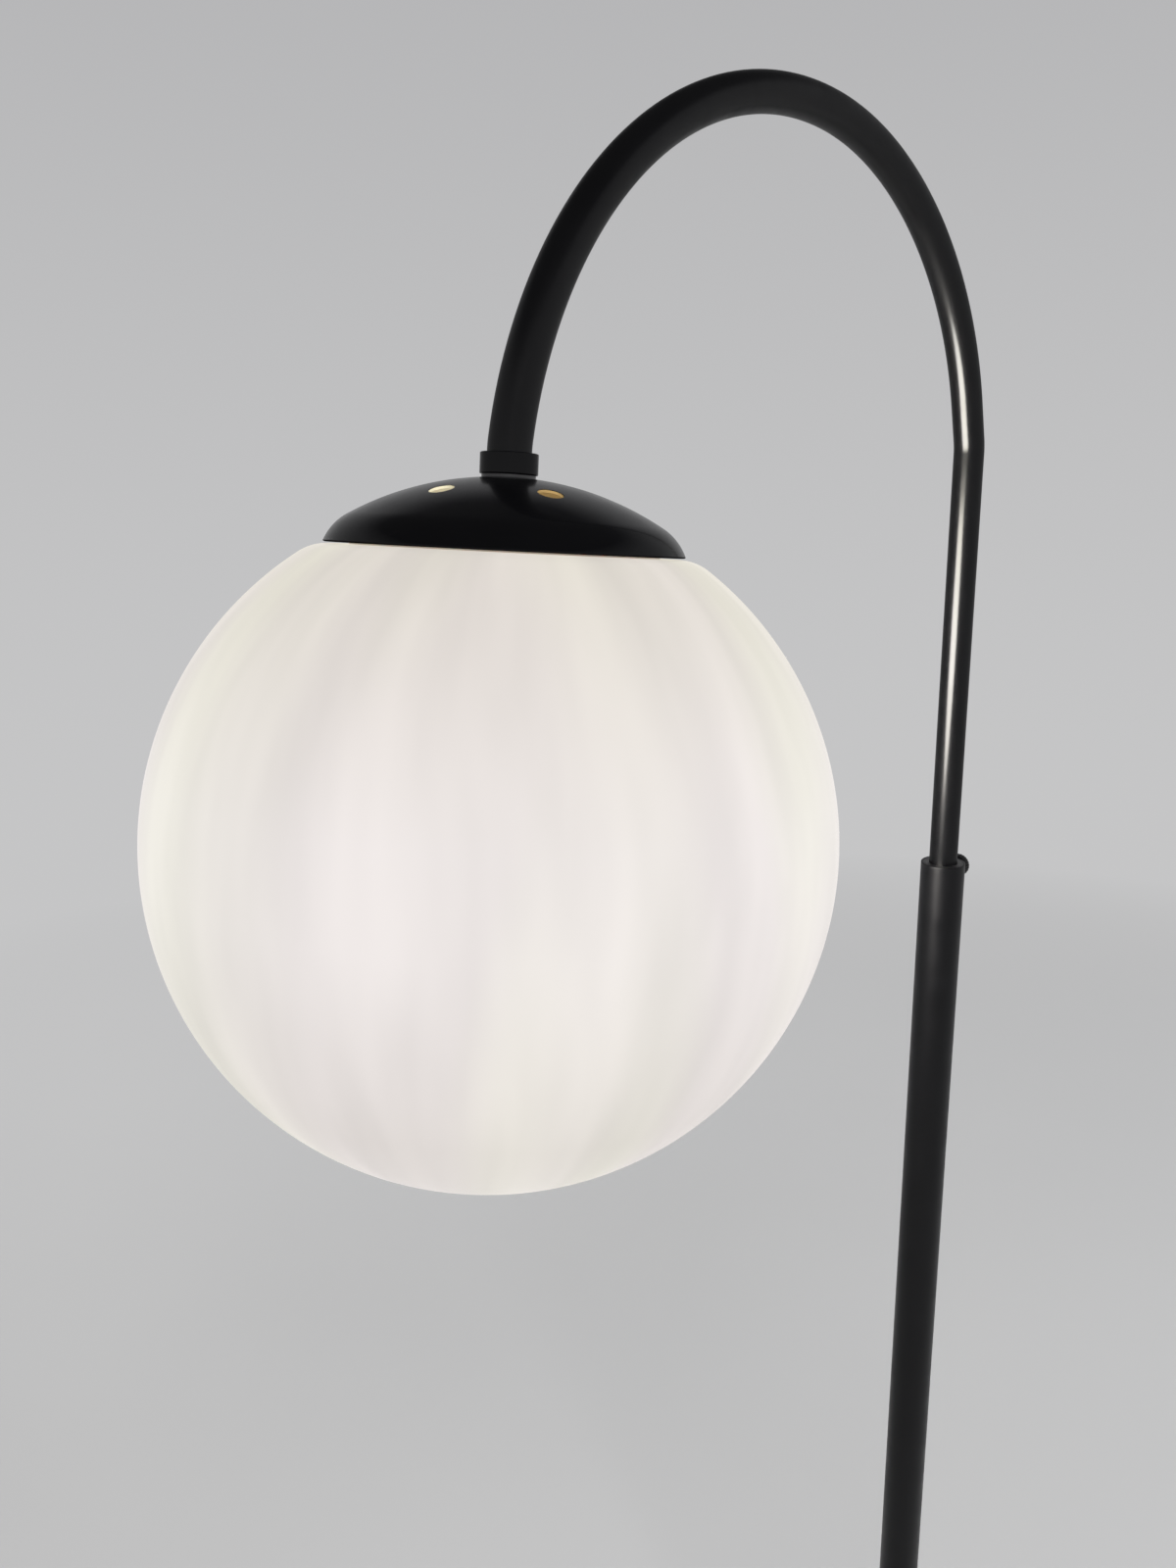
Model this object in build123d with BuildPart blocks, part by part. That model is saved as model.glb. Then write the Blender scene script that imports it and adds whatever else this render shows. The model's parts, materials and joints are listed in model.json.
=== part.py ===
"""Globe floor lamp: an arched arm that telescopes and turns in a sleeve on a weighted base.

Millimetres. The origin is on the floor, on the pole's axis. +Z is up, and the arm reaches towards -X.
"""

import os
from math import asin, cos, degrees, radians, sin, sqrt, tan

from build123d import *

# ---------------------------------------------------------------- driving dimensions
# Base
PAD_INSET = 2.0
PAD_T = 3.0
WEIGHT_R = 152.0
WEIGHT_T = 18.0
WEIGHT_ROUND = 8.0
SUMP_R = 20.0
SUMP_H = 10.0
CHANNEL_W = 9.0
CHANNEL_H = 9.0
COVER_T = 1.5
COVER_PLAY = 2.5
COVER_LIFT = 0.5
OUTLET_BORE_R = 3.3
OUTLET_WALL = 0.8
OUTLET_FLANGE = 1.4
OUTLET_MARGIN = 0.6

# Pole
SLEEVE_R = 15.0
SLEEVE_WALL = 1.5
SLEEVE_TOP_Z = 1131.5
TRIM_R = 27.0
TRIM_H = 8.0
PLUG_H = 25.0
THREAD_R = 5.0
NIPPLE_BORE_R = 3.5
BUSH_H = 40.0

# Arm
TUBE_R = 9.5
TUBE_WALL = 1.2
TUBE_OVERLAP = 420.0
UPRIGHT_RISE = 280.5
KINK_ANGLE = 14.2
KINK_R = 38.0
KINK_RUN = 21.1
RISE_R = 188.8
RISE_ANGLE = 70.2
FALL_R = 210.9
FALL_ANGLE = 83.1
NOSE_R = 45.0
NOSE_ANGLE = 7.5
SOCKET_DEPTH = 5.0

# Height clamp
CLAMP_DROP = 7.5
STUD_R = 3.0
KNOB_R = 8.0
KNOB_L = 8.4
KNOB_FLUTES = 12
KNOB_FLUTE_R = 1.0
BOSS_R = 5.0
BOSS_FLANGE_R = 6.5
BOSS_REACH = 2.0
PAD_TIP_T = 2.0

# Glide on the arm's lower end
GLIDE_H = 30.0
CLIP_T = 2.0
CLIP_WALL = 2.0
CLIP_MARGIN = 1.5

# Lamp head, heights above the globe's centre along its own axis
GLOBE_R = 150.0
GLOBE_WALL = 3.5
GLOBE_SHOULDER_R = 22.0
GLOBE_SHOULDER_ANGLE = 35.2
GLOBE_MOUTH_LAND = 1.2
COLLAR_R = 12.4
COLLAR_H = 8.9
SEAT_R = 11.5
SEAT_T = 1.6
CAP_DEPTH = 29.16
CAP_T = 1.2
CAP_LAND_R = 13.0
CAP_LIP_R = 76.5
CAP_LIP_GAP = 1.0
CAP_TURN_H = 11.55
CAP_TURN_W = 10.0
VENT_R = 5.2
VENT_COUNT = 6
VENT_CIRCLE_R = 43.2
VENT_TURN = 10.7
GASKET_W = 5.0
GASKET_INSET = 9.6
BAR_DROP = 1.64
BAR_W = 16.0
BAR_T = 2.0
BAR_OVERREACH = 8.5
TIP_IN = 1.5
TIP_OUT = 10.5
TIP_SIDE = 2.0
TIP_UNDER = 2.0

# Lampholder and bulb
HOLDER_GAP = 1.0
HOLDER_TOP_R = 10.0
HOLDER_R = 20.5
HOLDER_WALL = 2.0
HOLDER_CONE_H = 14.5
HOLDER_RIM_H = 6.0
HOLDER_SHELL_H = 40.0
CORE_T = 12.0
SHELL_WALL = 0.8
SHELL_L = 22.0
SPRING_H = 5.0
BULB_PLAY = 0.3
BULB_CAP_R = 13.1
BULB_CAP_L = 19.0
BULB_CONTACT_R = 4.0
BULB_CONTACT_T = 2.0
BULB_GLOBE_R = 30.0
BULB_NECK_L = 50.0
BULB_NECK_ANGLE = 52.0
BULB_WALL = 1.5
SPRING_W = 6.0

# Fasteners
NUT_FLATS = 14.0
NUT_H = 4.0
WASHER_T = 1.5
FOOT_NUT_FLATS = 17.0
FOOT_NUT_H = 5.0
FOOT_WASHER_R = 16.0
FOOT_WASHER_T = 2.0

# Clearances
RUN_FIT = 0.05
THREAD_FIT = 0.2
END_PLAY = 0.3

# ---------------------------------------------------------------- worked-out places
pad_r = WEIGHT_R - PAD_INSET
weight_top = PAD_T + WEIGHT_T
cover_top = weight_top + COVER_T
cover_in_r = WEIGHT_R + COVER_PLAY
cover_r = cover_in_r + COVER_T
cover_in_round = WEIGHT_ROUND
cover_out_round = WEIGHT_ROUND + COVER_T
sleeve_in_r = SLEEVE_R - SLEEVE_WALL
tube_in_r = TUBE_R - TUBE_WALL
kink_z = SLEEVE_TOP_Z + UPRIGHT_RISE
arm_low_z = SLEEVE_TOP_Z - TUBE_OVERLAP
clamp_z = SLEEVE_TOP_Z - CLAMP_DROP
sump_top = PAD_T + SUMP_H

lamp_tilt = 180.0 - KINK_ANGLE - RISE_ANGLE - FALL_ANGLE - NOSE_ANGLE

# The globe is round up to its shoulder, which turns in to a flat ring about the mouth.
globe_in_r = GLOBE_R - GLOBE_WALL
globe_turn_r, globe_turn_h = (
    (GLOBE_R - GLOBE_SHOULDER_R) * sin(radians(GLOBE_SHOULDER_ANGLE)),
    (GLOBE_R - GLOBE_SHOULDER_R) * cos(radians(GLOBE_SHOULDER_ANGLE)),
)
globe_flat_h = globe_turn_h + GLOBE_SHOULDER_R
globe_flat_in_h = globe_flat_h - GLOBE_WALL

# The cap stands over the globe's shoulder. Its dome turns down to a rim that ends just clear of the glass.
lip_in_r = CAP_LIP_R - CAP_T
lip_low_h = globe_turn_h + sqrt(GLOBE_SHOULDER_R**2 - max(lip_in_r - globe_turn_r, 0.0) ** 2) + CAP_LIP_GAP
cap_top_h = lip_low_h + CAP_DEPTH
shoulder_r = CAP_LIP_R - CAP_TURN_W
shoulder_h = lip_low_h + CAP_TURN_H
cap_dome_centre = (CAP_LAND_R**2 - shoulder_r**2 + cap_top_h**2 - shoulder_h**2) / (2 * (cap_top_h - shoulder_h))
cap_dome_r = sqrt(shoulder_r**2 + (shoulder_h - cap_dome_centre) ** 2)
cap_in_r = cap_dome_r - CAP_T
collar_low_h = cap_top_h + SEAT_T
collar_top_h = collar_low_h + COLLAR_H

# The gasket stands on the flat ring inside the rim, the mouth lies inside it, and the bar under the ring.
gasket_out_r = lip_in_r - GASKET_INSET
gasket_in_r = gasket_out_r - GASKET_W
mouth_r = gasket_in_r - GLOBE_MOUTH_LAND
bar_top_h = globe_flat_in_h - BAR_DROP
bar_low_h = bar_top_h - BAR_T

# The lampholder hangs under the bar's nut, and the bulb under the holder's contact spring.
cap_washer_h = cap_top_h - CAP_T - WASHER_T
cap_nut_h = cap_washer_h - NUT_H
bar_washer_h = bar_low_h - WASHER_T
bar_nut_h = bar_washer_h - NUT_H
holder_top_h = bar_nut_h - HOLDER_GAP
holder_shoulder_h = holder_top_h - HOLDER_CONE_H
holder_split_h = holder_shoulder_h - HOLDER_RIM_H
holder_mouth_h = holder_split_h - HOLDER_SHELL_H
holder_in_r = HOLDER_R - HOLDER_WALL
nipple_end_h = holder_top_h - 2 * HOLDER_WALL
core_low_h = holder_split_h - CORE_T
shell_r = BULB_CAP_R + BULB_PLAY + SHELL_WALL
contact_low_h = core_low_h - SPRING_H
bulb_cap_top_h = contact_low_h - BULB_CONTACT_T
bulb_cap_low_h = bulb_cap_top_h - BULB_CAP_L
bulb_centre_h = bulb_cap_low_h - BULB_NECK_L

os.makedirs("parts", exist_ok=True)


def on_circle(radius, across, centre=0.0):
    """Point of a circle about (0, centre), at a distance across from the axis, in its upper half."""
    return (across, centre + sqrt(radius**2 - across**2))


def at_angle(radius, angle, centre=0.0):
    """Point of a circle about (0, centre), at an angle in degrees from the upward axis."""
    return (radius * sin(radians(angle)), centre + radius * cos(radians(angle)))


def angle_at(radius, across):
    """Angle in degrees from the axis at which a circle is a distance across from it."""
    return degrees(asin(across / radius))


def save(piece, label):
    """Label a finished piece and write it to its own STEP file."""
    piece.part.label = label
    export_step(piece.part, f"parts/{label}.step")


# ---------------------------------------------------------------- base
with BuildPart() as floor_pad:
    with BuildSketch(Plane.XY):
        Circle(pad_r)
    extrude(amount=PAD_T)
save(floor_pad, "floor_pad")

with BuildPart() as base_weight:
    with BuildSketch(Plane.XY.offset(PAD_T)):
        Circle(WEIGHT_R)
    extrude(amount=WEIGHT_T)
    fillet(base_weight.faces().sort_by(Axis.Z)[-1].edges(), WEIGHT_ROUND)
    with BuildSketch(Plane.XY.offset(PAD_T)):
        Circle(SUMP_R)
    extrude(amount=SUMP_H, mode=Mode.SUBTRACT)
    with BuildSketch(Plane.XY.offset(PAD_T)):
        with Locations((WEIGHT_R / 2, 0)):
            Rectangle(WEIGHT_R + WEIGHT_ROUND, CHANNEL_W)
    extrude(amount=CHANNEL_H, mode=Mode.SUBTRACT)
    with BuildSketch(Plane.XY):
        Circle(THREAD_R + THREAD_FIT)
    extrude(amount=cover_top, mode=Mode.SUBTRACT)
save(base_weight, "base_weight")

# Spun sheet cover: a flat top, one rounded edge and a short skirt, drawn as its section.
cover_low = PAD_T + COVER_LIFT
outlet_flange_r = OUTLET_BORE_R + 2 * OUTLET_WALL
outlet_z = cover_low + outlet_flange_r + OUTLET_MARGIN
cover_flat_r = cover_r - cover_out_round
cover_bend_z = cover_top - cover_out_round
with BuildPart() as base_cover:
    with BuildSketch(Plane.XZ):
        with BuildLine():
            Polyline(
                (cover_flat_r, cover_top),
                (THREAD_R + THREAD_FIT, cover_top),
                (THREAD_R + THREAD_FIT, weight_top),
                (cover_flat_r, weight_top),
            )
            JernArc((cover_flat_r, weight_top), (1, 0), cover_in_round, -90)
            Polyline(
                (cover_in_r, cover_bend_z),
                (cover_in_r, cover_low),
                (cover_r, cover_low),
                (cover_r, cover_bend_z),
            )
            JernArc((cover_r, cover_bend_z), (0, 1), cover_out_round, 90)
        make_face()
    revolve(axis=Axis.Z)
    with BuildSketch(Plane.YZ.offset(cover_in_r - OUTLET_FLANGE)):
        with Locations((0, outlet_z)):
            Circle(OUTLET_BORE_R + OUTLET_WALL)
    extrude(amount=2 * OUTLET_FLANGE + COVER_T, mode=Mode.SUBTRACT)
save(base_cover, "base_cover")

# Cord outlet bush: a flanged sleeve through the cover's skirt, in line with the weight's channel.
outlet_face = cover_r + OUTLET_FLANGE
outlet_back = sqrt(cover_in_r**2 - outlet_flange_r**2) - OUTLET_FLANGE
outlet_axis = Axis((0, 0, outlet_z), (1, 0, 0))
with BuildPart() as cord_outlet:
    with BuildSketch(Plane.XZ):
        with BuildLine():
            neck_z = outlet_z + OUTLET_BORE_R + OUTLET_WALL
            flange_z = neck_z + OUTLET_WALL
            Polyline(
                (outlet_back, outlet_z + OUTLET_BORE_R),
                (outlet_face, outlet_z + OUTLET_BORE_R),
                (outlet_face, flange_z),
                (cover_r, flange_z),
                (cover_r, neck_z),
                (outlet_back + OUTLET_FLANGE, neck_z),
                (outlet_back + OUTLET_FLANGE, flange_z),
                (outlet_back, flange_z),
                close=True,
            )
        make_face()
    revolve(axis=outlet_axis)
save(cord_outlet, "cord_outlet")

# ---------------------------------------------------------------- pole foot
with BuildPart() as foot_plug:
    with BuildSketch(Plane.XY.offset(cover_top)):
        Circle(sleeve_in_r)
        Circle(THREAD_R, mode=Mode.SUBTRACT)
    extrude(amount=PLUG_H)
save(foot_plug, "foot_plug")

foot_washer_z = sump_top - FOOT_WASHER_T
foot_nut_z = foot_washer_z - FOOT_NUT_H
with BuildPart() as foot_nipple:
    with BuildSketch(Plane.XY.offset(foot_nut_z)):
        Circle(THREAD_R)
        Circle(NIPPLE_BORE_R, mode=Mode.SUBTRACT)
    extrude(amount=cover_top + PLUG_H - foot_nut_z)
save(foot_nipple, "foot_nipple")

with BuildPart() as foot_washer:
    with BuildSketch(Plane.XY.offset(foot_washer_z)):
        Circle(FOOT_WASHER_R)
        Circle(THREAD_R, mode=Mode.SUBTRACT)
    extrude(amount=FOOT_WASHER_T)
save(foot_washer, "foot_washer")

with BuildPart() as foot_nut:
    with BuildSketch(Plane.XY.offset(foot_nut_z)):
        RegularPolygon(FOOT_NUT_FLATS / 2, 6, major_radius=False)
        Circle(THREAD_R, mode=Mode.SUBTRACT)
    extrude(amount=FOOT_NUT_H)
save(foot_nut, "foot_nut")

with BuildPart() as foot_trim:
    with BuildSketch(Plane.XZ):
        with BuildLine():
            trim_top = cover_top + TRIM_H
            trim_rim = cover_top + COVER_T
            Polyline(
                (SLEEVE_R + TRIM_H / 3, trim_top),
                (SLEEVE_R, trim_top),
                (SLEEVE_R, cover_top),
                (TRIM_R, cover_top),
                (TRIM_R, trim_rim),
            )
            RadiusArc((TRIM_R, trim_rim), (SLEEVE_R + TRIM_H / 3, trim_top), 2 * TRIM_H)
        make_face()
    revolve(axis=Axis.Z)
save(foot_trim, "foot_trim")

# ---------------------------------------------------------------- sleeve and guide bush
with BuildPart() as outer_sleeve:
    with BuildSketch(Plane.XY.offset(cover_top)):
        Circle(SLEEVE_R)
        Circle(sleeve_in_r, mode=Mode.SUBTRACT)
    extrude(amount=SLEEVE_TOP_Z - cover_top)
    chamfer(outer_sleeve.faces().sort_by(Axis.Z)[-1].outer_wire().edges(), SLEEVE_WALL / 3)
    with BuildSketch(Plane.YZ):
        with Locations((0, clamp_z)):
            Circle(BOSS_R)
    extrude(amount=SLEEVE_R, mode=Mode.SUBTRACT)
save(outer_sleeve, "outer_sleeve")

bush_bore_r = TUBE_R + RUN_FIT
stud_bore_r = STUD_R + RUN_FIT
with BuildPart() as guide_bush:
    with BuildSketch(Plane.XY.offset(SLEEVE_TOP_Z - BUSH_H)):
        Circle(sleeve_in_r)
        Circle(bush_bore_r, mode=Mode.SUBTRACT)
    extrude(amount=BUSH_H)
    with BuildSketch(Plane.YZ):
        with Locations((0, clamp_z)):
            Circle(stud_bore_r)
    extrude(amount=sleeve_in_r, mode=Mode.SUBTRACT)
save(guide_bush, "guide_bush")

# ---------------------------------------------------------------- height clamp, along +X
boss_face = SLEEVE_R + BOSS_REACH
with BuildPart() as clamp_boss:
    with BuildSketch(Plane.YZ):
        with Locations((0, clamp_z)):
            Circle(BOSS_FLANGE_R)
    extrude(amount=boss_face)
    with BuildSketch(Plane.XY.offset(clamp_z - BOSS_FLANGE_R)):
        Circle(SLEEVE_R)
    extrude(amount=2 * BOSS_FLANGE_R, mode=Mode.SUBTRACT)
    with BuildSketch(Plane.YZ):
        with Locations((0, clamp_z)):
            Circle(BOSS_R)
    extrude(amount=boss_face)
    with BuildSketch(Plane.XY.offset(clamp_z - BOSS_FLANGE_R)):
        Circle(sleeve_in_r)
    extrude(amount=2 * BOSS_FLANGE_R, mode=Mode.SUBTRACT)
    with BuildSketch(Plane.YZ):
        with Locations((0, clamp_z)):
            Circle(stud_bore_r)
    extrude(amount=boss_face, mode=Mode.SUBTRACT)
save(clamp_boss, "clamp_boss")

tip_face = bush_bore_r
stud_start = tip_face + PAD_TIP_T
with BuildPart() as clamp_tip:
    with BuildSketch(Plane.YZ):
        with Locations((0, clamp_z)):
            Circle(STUD_R)
    extrude(amount=stud_start)
    with BuildSketch(Plane.XY.offset(clamp_z - STUD_R)):
        Circle(tip_face)
    extrude(amount=2 * STUD_R, mode=Mode.SUBTRACT)
save(clamp_tip, "clamp_tip")

knob_back = boss_face + END_PLAY
with BuildPart() as clamp_stud:
    with BuildSketch(Plane.YZ.offset(stud_start)):
        with Locations((0, clamp_z)):
            Circle(STUD_R)
    extrude(amount=knob_back + KNOB_L / 2 - stud_start)
save(clamp_stud, "clamp_stud")

with BuildPart() as clamp_knob:
    with BuildSketch(Plane.YZ.offset(knob_back)):
        with Locations((0, clamp_z)):
            Circle(KNOB_R)
    extrude(amount=KNOB_L)
    fillet(clamp_knob.faces().sort_by(Axis.X)[-1].edges(), KNOB_L / 4)
    with BuildSketch(Plane.YZ.offset(knob_back)):
        with Locations((0, clamp_z)):
            with PolarLocations(KNOB_R + KNOB_FLUTE_R / 2, KNOB_FLUTES):
                Circle(KNOB_FLUTE_R)
    extrude(amount=KNOB_L, mode=Mode.SUBTRACT)
    with BuildSketch(Plane.YZ.offset(knob_back)):
        with Locations((0, clamp_z)):
            Circle(STUD_R)
    extrude(amount=KNOB_L / 2, mode=Mode.SUBTRACT)
save(clamp_knob, "clamp_knob")

# ---------------------------------------------------------------- glide on the arm's lower end
clip_low_z = arm_low_z + CLIP_MARGIN
glide_z = clip_low_z + CLIP_T + END_PLAY
clip_high_z = glide_z + GLIDE_H + END_PLAY
with BuildPart() as lower_glide:
    with BuildSketch(Plane.XY.offset(glide_z)):
        Circle(sleeve_in_r - RUN_FIT)
        Circle(TUBE_R + RUN_FIT, mode=Mode.SUBTRACT)
    extrude(amount=GLIDE_H)
save(lower_glide, "lower_glide")

for clip_name, clip_z in (("glide_clip_lower", clip_low_z), ("glide_clip_upper", clip_high_z)):
    with BuildPart() as glide_clip:
        with BuildSketch(Plane.XY.offset(clip_z)):
            Circle(TUBE_R + CLIP_WALL)
            Circle(TUBE_R, mode=Mode.SUBTRACT)
        extrude(amount=CLIP_T)
    save(glide_clip, clip_name)

# ---------------------------------------------------------------- arm tube
# One tube: a straight upright, a short kink, a straight run, then an arch of two radii
# that are tangent to each other, and a last slight bend that brings the end into line with the lamp head.
with BuildLine(Plane.XZ) as arm_path:
    upright = Line((0, arm_low_z), (0, kink_z - KINK_R * tan(radians(KINK_ANGLE / 2))))
    kink = JernArc(upright @ 1, upright % 1, KINK_R, KINK_ANGLE)
    run = Line(kink @ 1, kink @ 1 + (kink % 1) * KINK_RUN)
    rise = JernArc(run @ 1, run % 1, RISE_R, RISE_ANGLE)
    fall = JernArc(rise @ 1, rise % 1, FALL_R, FALL_ANGLE)
    nose = JernArc(fall @ 1, fall % 1, NOSE_R, NOSE_ANGLE)
    tail = Line(nose @ 1, nose @ 1 + (nose % 1) * SOCKET_DEPTH)

collar_top = nose @ 1
head_down = nose % 1
globe_centre = collar_top + head_down * collar_top_h

with BuildPart() as arm_tube:
    add(arm_path)
    with BuildSketch(Plane.XY.offset(arm_low_z)):
        Circle(TUBE_R)
        Circle(tube_in_r, mode=Mode.SUBTRACT)
    sweep()
save(arm_tube, "arm_tube")

# ---------------------------------------------------------------- lamp head
# Head section plane: x across the head, y up its axis from the globe's centre.
head_up = head_down * -1
head_section = Plane(origin=globe_centre, x_dir=head_up.cross(Vector(0, -1, 0)), z_dir=(0, -1, 0))
head_axis = Axis(globe_centre, head_up)
head_level = Plane(origin=globe_centre, x_dir=head_section.x_dir, z_dir=head_up)

with BuildPart() as collar:
    with BuildSketch(head_level.offset(collar_low_h)):
        Circle(COLLAR_R)
    extrude(amount=COLLAR_H)
    chamfer(collar.edges().filter_by(GeomType.CIRCLE), SEAT_T / 3)
    with BuildSketch(head_level.offset(collar_low_h)):
        Circle(THREAD_R)
    extrude(amount=COLLAR_H, mode=Mode.SUBTRACT)
    with BuildSketch(head_level.offset(collar_top_h - SOCKET_DEPTH)):
        Circle(TUBE_R)
    extrude(amount=SOCKET_DEPTH, mode=Mode.SUBTRACT)
save(collar, "collar")

with BuildPart() as seat_ring:
    with BuildSketch(head_level.offset(cap_top_h)):
        Circle(SEAT_R)
        Circle(THREAD_R, mode=Mode.SUBTRACT)
    extrude(amount=SEAT_T)
save(seat_ring, "seat_ring")

# Dome cap of pressed sheet. It turns down at the rim, which ends just clear of the globe, and has vents.
shoulder_angle = angle_at(cap_dome_r, shoulder_r)
shoulder_out = (shoulder_r, shoulder_h)
shoulder_in = at_angle(cap_in_r, shoulder_angle, cap_dome_centre)
shoulder_aim = (cos(radians(shoulder_angle)), -sin(radians(shoulder_angle)))
rim_out = (CAP_LIP_R, lip_low_h)
rim_in = (lip_in_r, lip_low_h)
dome_mid = shoulder_angle / 2
land_in_r = sqrt(cap_in_r**2 - (cap_top_h - CAP_T - cap_dome_centre) ** 2)
vent_lean = angle_at(cap_dome_r, VENT_CIRCLE_R)
with BuildPart() as cap:
    with BuildSketch(head_section):
        with BuildLine():
            Polyline(
                (CAP_LAND_R, cap_top_h),
                (THREAD_R + THREAD_FIT, cap_top_h),
                (THREAD_R + THREAD_FIT, cap_top_h - CAP_T),
                (land_in_r, cap_top_h - CAP_T),
            )
            ThreePointArc(
                (land_in_r, cap_top_h - CAP_T),
                at_angle(cap_in_r, dome_mid, cap_dome_centre),
                shoulder_in,
            )
            TangentArc(shoulder_in, rim_in, tangent=shoulder_aim)
            Line(rim_in, rim_out)
            TangentArc(shoulder_out, rim_out, tangent=shoulder_aim)
            ThreePointArc(
                shoulder_out,
                at_angle(cap_dome_r, dome_mid, cap_dome_centre),
                (CAP_LAND_R, cap_top_h),
            )
        make_face()
    revolve(axis=head_axis)
    dome_level = head_level.offset(cap_dome_centre)
    for number in range(VENT_COUNT):
        vent_aim = Location((0, 0, 0), (0, 0, VENT_TURN + number * 360 / VENT_COUNT))
        vent_aim = dome_level.location * vent_aim * Location((0, 0, 0), (0, vent_lean, 0))
        with BuildSketch(Plane(vent_aim).offset(cap_in_r - CAP_T)):
            Circle(VENT_R)
        extrude(amount=3 * CAP_T, mode=Mode.SUBTRACT)
save(cap, "cap")

with BuildPart() as cap_nipple:
    with BuildSketch(head_level.offset(nipple_end_h)):
        Circle(THREAD_R)
        Circle(NIPPLE_BORE_R, mode=Mode.SUBTRACT)
    extrude(amount=collar_top_h - SOCKET_DEPTH - nipple_end_h)
save(cap_nipple, "cap_nipple")

for washer_name, washer_h in (("cap_washer", cap_washer_h), ("bar_washer", bar_washer_h)):
    with BuildPart() as washer:
        with BuildSketch(head_level.offset(washer_h)):
            Circle(NUT_FLATS / 2 + 2 * WASHER_T)
            Circle(THREAD_R, mode=Mode.SUBTRACT)
        extrude(amount=WASHER_T)
    save(washer, washer_name)

for nut_name, nut_h in (("cap_nut", cap_nut_h), ("bar_nut", bar_nut_h)):
    with BuildPart() as nut:
        with BuildSketch(head_level.offset(nut_h)):
            RegularPolygon(NUT_FLATS / 2, 6, major_radius=False)
            Circle(THREAD_R, mode=Mode.SUBTRACT)
        extrude(amount=NUT_H)
    save(nut, nut_name)

# ---------------------------------------------------------------- globe, gasket and globe bar
def glass_curve(inset):
    """Draws the globe's round side and shoulder, set in by a depth, from the bottom to the flat ring."""
    radius = GLOBE_R - inset
    seam = at_angle(radius, GLOBE_SHOULDER_ANGLE)
    half = radians(GLOBE_SHOULDER_ANGLE / 2)
    turn = GLOBE_SHOULDER_R - inset
    middle = (globe_turn_r + turn * sin(half), globe_turn_h + turn * cos(half))
    ThreePointArc((0, -radius), at_angle(radius, 90), seam)
    ThreePointArc(seam, middle, (globe_turn_r, globe_turn_h + turn))


with BuildPart() as globe:
    with BuildSketch(head_section):
        with BuildLine():
            glass_curve(0.0)
            glass_curve(GLOBE_WALL)
            Line((0, -globe_in_r), (0, -GLOBE_R))
            Polyline(
                (globe_turn_r, globe_flat_h),
                (mouth_r, globe_flat_h),
                (mouth_r, globe_flat_in_h),
                (globe_turn_r, globe_flat_in_h),
            )
        make_face()
    revolve(axis=head_axis)
save(globe, "globe")

with BuildPart() as globe_gasket:
    with BuildSketch(head_section):
        with BuildLine():
            gasket_mid = (gasket_in_r + gasket_out_r) / 2
            ThreePointArc(
                on_circle(cap_in_r, gasket_in_r, cap_dome_centre),
                on_circle(cap_in_r, gasket_mid, cap_dome_centre),
                on_circle(cap_in_r, gasket_out_r, cap_dome_centre),
            )
            Polyline(
                on_circle(cap_in_r, gasket_out_r, cap_dome_centre),
                (gasket_out_r, globe_flat_h),
                (gasket_in_r, globe_flat_h),
                on_circle(cap_in_r, gasket_in_r, cap_dome_centre),
            )
        make_face()
    revolve(axis=head_axis)
save(globe_gasket, "globe_gasket")

# The bar is longer than the globe's mouth is wide. It goes in on the slant and pulls up under the glass.
bar_half = mouth_r + BAR_OVERREACH
with BuildPart() as globe_bar:
    with BuildSketch(head_level.offset(bar_low_h)):
        SlotOverall(2 * bar_half, BAR_W)
        Circle(THREAD_R + THREAD_FIT, mode=Mode.SUBTRACT)
    extrude(amount=BAR_T)
save(globe_bar, "globe_bar")

for tip_name, side in (("bar_tip_inner", 1), ("bar_tip_outer", -1)):
    tip_mid = side * (mouth_r + (TIP_IN + TIP_OUT) / 2)
    with BuildPart() as bar_tip:
        with BuildSketch(head_level.offset(bar_low_h - TIP_UNDER)):
            with Locations((tip_mid, 0)):
                Rectangle(TIP_OUT - TIP_IN, BAR_W + 2 * TIP_SIDE)
        extrude(amount=globe_in_r - bar_low_h)
        with BuildSketch(head_section):
            with BuildLine():
                Polyline((globe_turn_r, globe_flat_in_h), (0, globe_flat_in_h), (0, -globe_in_r))
                glass_curve(GLOBE_WALL)
            make_face()
        revolve(axis=head_axis, mode=Mode.INTERSECT)
        with BuildSketch(head_level.offset(bar_low_h)):
            SlotOverall(2 * bar_half, BAR_W)
        extrude(amount=BAR_T, mode=Mode.SUBTRACT)
    save(bar_tip, tip_name)

# ---------------------------------------------------------------- lampholder
with BuildPart() as holder_top:
    with BuildSketch(head_section):
        with BuildLine():
            Polyline(
                (THREAD_R, holder_top_h),
                (HOLDER_TOP_R, holder_top_h),
                (HOLDER_R, holder_shoulder_h),
                (HOLDER_R, holder_split_h),
                (holder_in_r, holder_split_h),
                (holder_in_r, holder_shoulder_h - HOLDER_WALL / 2),
                (HOLDER_TOP_R - HOLDER_WALL / 2, holder_top_h - 2 * HOLDER_WALL),
                (THREAD_R, holder_top_h - 2 * HOLDER_WALL),
                close=True,
            )
        make_face()
    revolve(axis=head_axis)
save(holder_top, "holder_top")

with BuildPart() as holder_shell:
    with BuildSketch(head_level.offset(holder_mouth_h)):
        Circle(HOLDER_R)
        Circle(holder_in_r, mode=Mode.SUBTRACT)
    extrude(amount=HOLDER_SHELL_H)
save(holder_shell, "holder_shell")

with BuildPart() as holder_core:
    with BuildSketch(head_level.offset(core_low_h)):
        Circle(holder_in_r)
    extrude(amount=CORE_T)
save(holder_core, "holder_core")

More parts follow.
